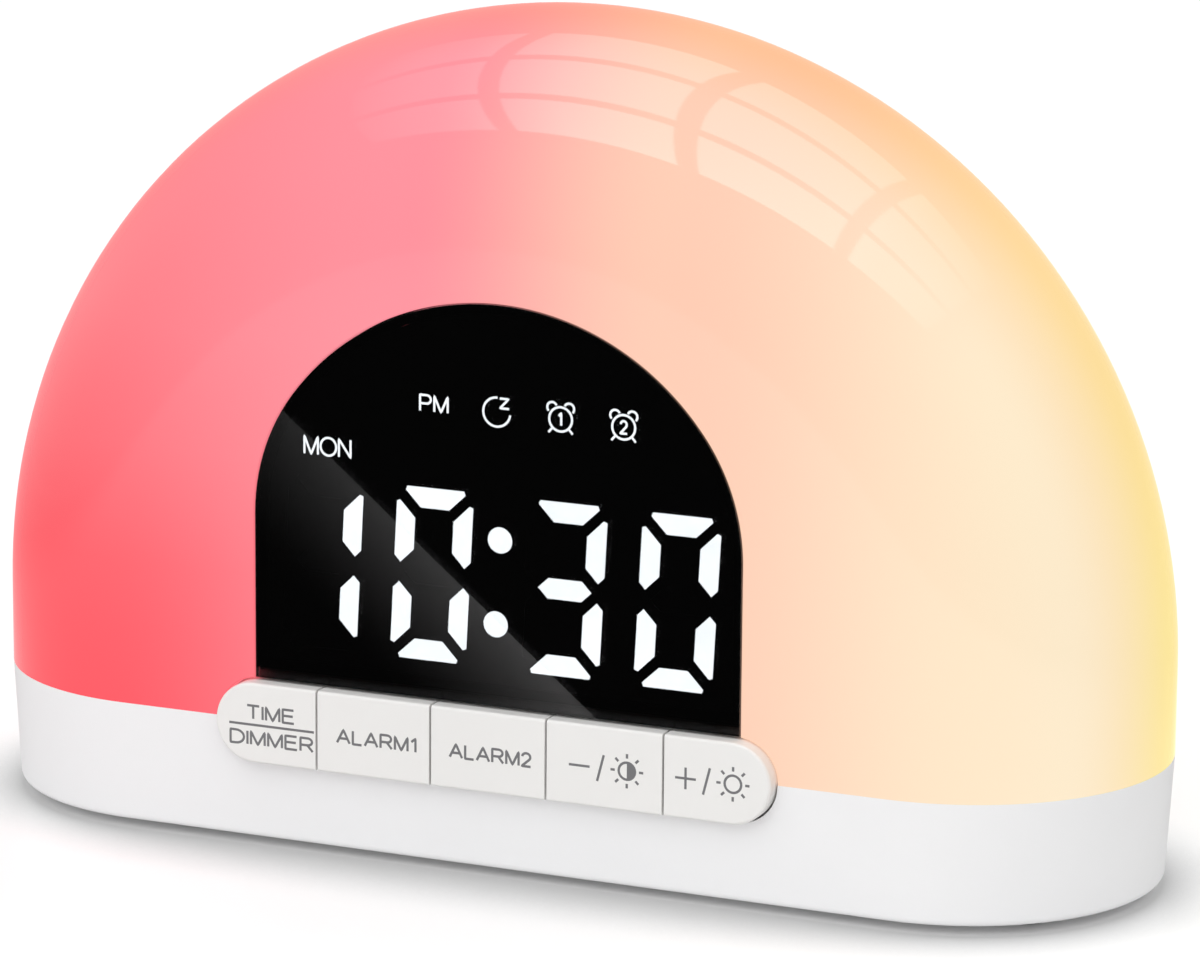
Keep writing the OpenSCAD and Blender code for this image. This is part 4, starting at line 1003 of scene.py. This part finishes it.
# %% Flags
FLAG_SIZE, FLAG_OUT, FLAG_Y, FLAG_Z = 0.3, 0.5, -0.05, 0.22  # metres
PILE = 2  # mm, the tufts of the felt
felt, felt_surface = start_material("black_felt", Roughness=1.0, Specular_IOR_Level=0.0)
place = node(felt, "TexCoord").outputs["Object"]
fibres = node(felt, "TexNoise", {"Vector": place, "Scale": 1 / (PILE * MM)})
pile = node(felt, "ValToRGB", {"Fac": fibres})
set_stops(pile, (0, linear("#050505")), (1, linear("#101010")))
link(felt, pile, felt_surface.inputs["Base Color"])
for side, name in ((-1, "left_flag"), (1, "right_flag")):
    bpy.ops.object.select_all(action="DESELECT")
    bpy.ops.mesh.primitive_plane_add(
        size=FLAG_SIZE, location=(side * FLAG_OUT, FLAG_Y, FLAG_Z), rotation=(0, math.pi / 2, 0)
    )
    flag = bpy.context.object
    flag.name = name
    flag.data.materials.append(felt)
    flag.visible_camera = flag.visible_glossy = flag.visible_transmission = False
print("flags stand", FLAG_OUT, "metres to each side")

# %% [markdown]
# A skylight of twelve equal panes hangs above and is seen only in reflections. It gives the dome its
# long window highlights. It is brightest in the middle and dims to its ends and towards the back.

# %% Skylight panes
PANE_Z = 900.0
SKY_LEFT, SKY_RIGHT = -860.0, 890.0
SKY_FRONT, SKY_BACK = -590.0, 540.0
SKY_BAR = 55.0
COLUMNS, ROWS = 4, 3
PANE_STRENGTH = 3.9
# Brightness from the left end to the right, and that of the back against the front
SKY_LEVELS = ((0, 0.12), (0.2, 0.45), (0.35, 0.95), (0.6, 1), (0.78, 0.75), (0.83, 0.55), (1, 0.2))
BACK_LEVEL = 0.45


def card(piece, name, material):
    """Makes a piece a stage card that only reflections see."""
    piece.name = name
    piece.data.materials.clear()
    piece.data.materials.append(material)
    piece.visible_camera = piece.visible_diffuse = piece.visible_transmission = False
    piece.visible_shadow = piece.visible_volume_scatter = False


pane_glass, pane_surface = start_material("skylight_glass", Roughness=1.0)
place = node(pane_glass, "TexCoord").outputs["Object"]
parts = node(pane_glass, "SeparateXYZ", {"Vector": place})
along_sky = node(
    pane_glass, "MapRange", {"Value": parts.outputs["X"], "From Min": -0.9, "From Max": 0.9}
)
sky = node(pane_glass, "ValToRGB", {"Fac": along_sky})
set_stops(sky, *((at, grey(level)) for at, level in SKY_LEVELS))
to_back = node(
    pane_glass,
    "MapRange",
    {"Value": parts.outputs["Y"], "From Min": -0.6, "From Max": 0.5, "To Min": 1.0, "To Max": BACK_LEVEL},
)
level = node(
    pane_glass, "MixRGB", {"Fac": 1.0, "Color1": sky, "Color2": to_back}, blend_type="MULTIPLY"
)
link(pane_glass, level, pane_surface.inputs["Emission Color"])
pane_surface.inputs["Base Color"].default_value = (0, 0, 0, 1)
pane_surface.inputs["Emission Strength"].default_value = PANE_STRENGTH
pane_glass.cycles.emission_sampling = "NONE"

pane_width = (SKY_RIGHT - SKY_LEFT - (COLUMNS - 1) * SKY_BAR) / COLUMNS
pane_depth = (SKY_BACK - SKY_FRONT - (ROWS - 1) * SKY_BAR) / ROWS
for i in range(COLUMNS):
    for k in range(ROWS):
        pane_x = SKY_LEFT + i * (pane_width + SKY_BAR)
        pane = first_vertex("pane", pane_x, SKY_FRONT + k * (pane_depth + SKY_BAR), PANE_Z)
        draw(pane_width, 0, 0)
        bpy.ops.mesh.select_all(action="SELECT")
        draw(0, pane_depth, 0)
        bpy.ops.object.mode_set(mode="OBJECT")
        card(pane, f"skylight_pane_{i}_{k}", pane_glass)
print(f"skylight: {COLUMNS * ROWS} panes of {pane_width:.0f} by {pane_depth:.0f} mm")

# %% [markdown]
# The window would mirror the white floor all over. A dark card stands in front of it and keeps most of
# that out. It has the window's own outline, enlarged about the mirror image of the place from which the
# clock is seen, so that it covers the window's reflections and no more. The window's inner face sees it
# too. The card is clear along a slanted line and turns black again towards its lower left, which leaves
# a soft grey wedge.

# %% Dark card before the window
CARD_Y = -79.0
EDGE_A, EDGE_B = Vector((-57.5, 53.1)), Vector((-5.1, 10.56))  # ends of the line, across and up
WEDGE_DIM, WEDGE_BRIGHT = 0.37, 1.2  # how clear the card is at the two ends of the line
WEDGE_FADE = 21  # mm from the line to where the card is black again
FADE_POWER = 2.2
NEVER_BLACK = 0.03
behind = Vector((CAMERA_AT.x / MM, 2 * front_y - CAMERA_AT.y / MM, CAMERA_AT.z / MM))
zoom = (CARD_Y - behind.y) / (front_y - behind.y)
dark_card = arch_outline("dark_card", front_y, 0, lens_low.z)
bpy.ops.mesh.select_all(action="SELECT")
bpy.ops.transform.resize(
    value=(zoom, 1, zoom), center_override=(behind.x * MM, front_y * MM, behind.z * MM)
)
bpy.ops.transform.translate(value=(0, (CARD_Y - front_y) * MM, 0))
bpy.ops.object.mode_set(mode="OBJECT")
print("card is", round(zoom, 3), "times the window")

# %% Fading black card
black = bpy.data.materials.new("black_card_with_fade")
black.use_nodes = True
black.node_tree.nodes.clear()
place = node(black, "TexCoord").outputs["Object"]
along = (EDGE_B - EDGE_A).normalized()
turned_to_edge = node(
    black, "VectorMath", {0: place, 1: (-along.y, 0, along.x)}, operation="DOT_PRODUCT"
)
edge_at = (-along.y * EDGE_A.x + along.x * EDGE_A.y) * MM
beyond = node(black, "Math", {0: turned_to_edge.outputs["Value"], 1: edge_at}, operation="SUBTRACT")
down = node(black, "VectorMath", {0: place, 1: (along.x, 0, along.y)}, operation="DOT_PRODUCT")
brightest = node(
    black,
    "MapRange",
    {
        "Value": down.outputs["Value"],
        "From Min": along.dot(EDGE_A) * MM,
        "From Max": along.dot(EDGE_B) * MM,
        "To Min": WEDGE_DIM,
        "To Max": WEDGE_BRIGHT,
    },
)
fade = node(black, "MapRange", {"Value": beyond, "From Min": -WEDGE_FADE * MM, "From Max": 0.0})
soft_fade = node(black, "Math", {0: fade, 1: FADE_POWER}, operation="POWER")
wedge = node(black, "Math", {0: soft_fade, 1: brightest}, operation="MULTIPLY")
open_side = node(black, "Math", {0: beyond, 1: 0.0}, operation="LESS_THAN")
clear = node(
    black, "Math", {0: wedge, 1: open_side, 2: NEVER_BLACK}, operation="MULTIPLY_ADD", use_clamp=True
)
ink_black = node(black, "BsdfDiffuse", {"Color": (0, 0, 0, 1)})
see_through = node(black, "BsdfTransparent")
both = node(black, "MixShader", {0: clear, 1: ink_black, 2: see_through})
node(black, "OutputMaterial", {"Surface": both})
card(dark_card, "dark_card", black)
dark_card.visible_transmission = True
print("wedge line is", round((EDGE_B - EDGE_A).length), "mm long")
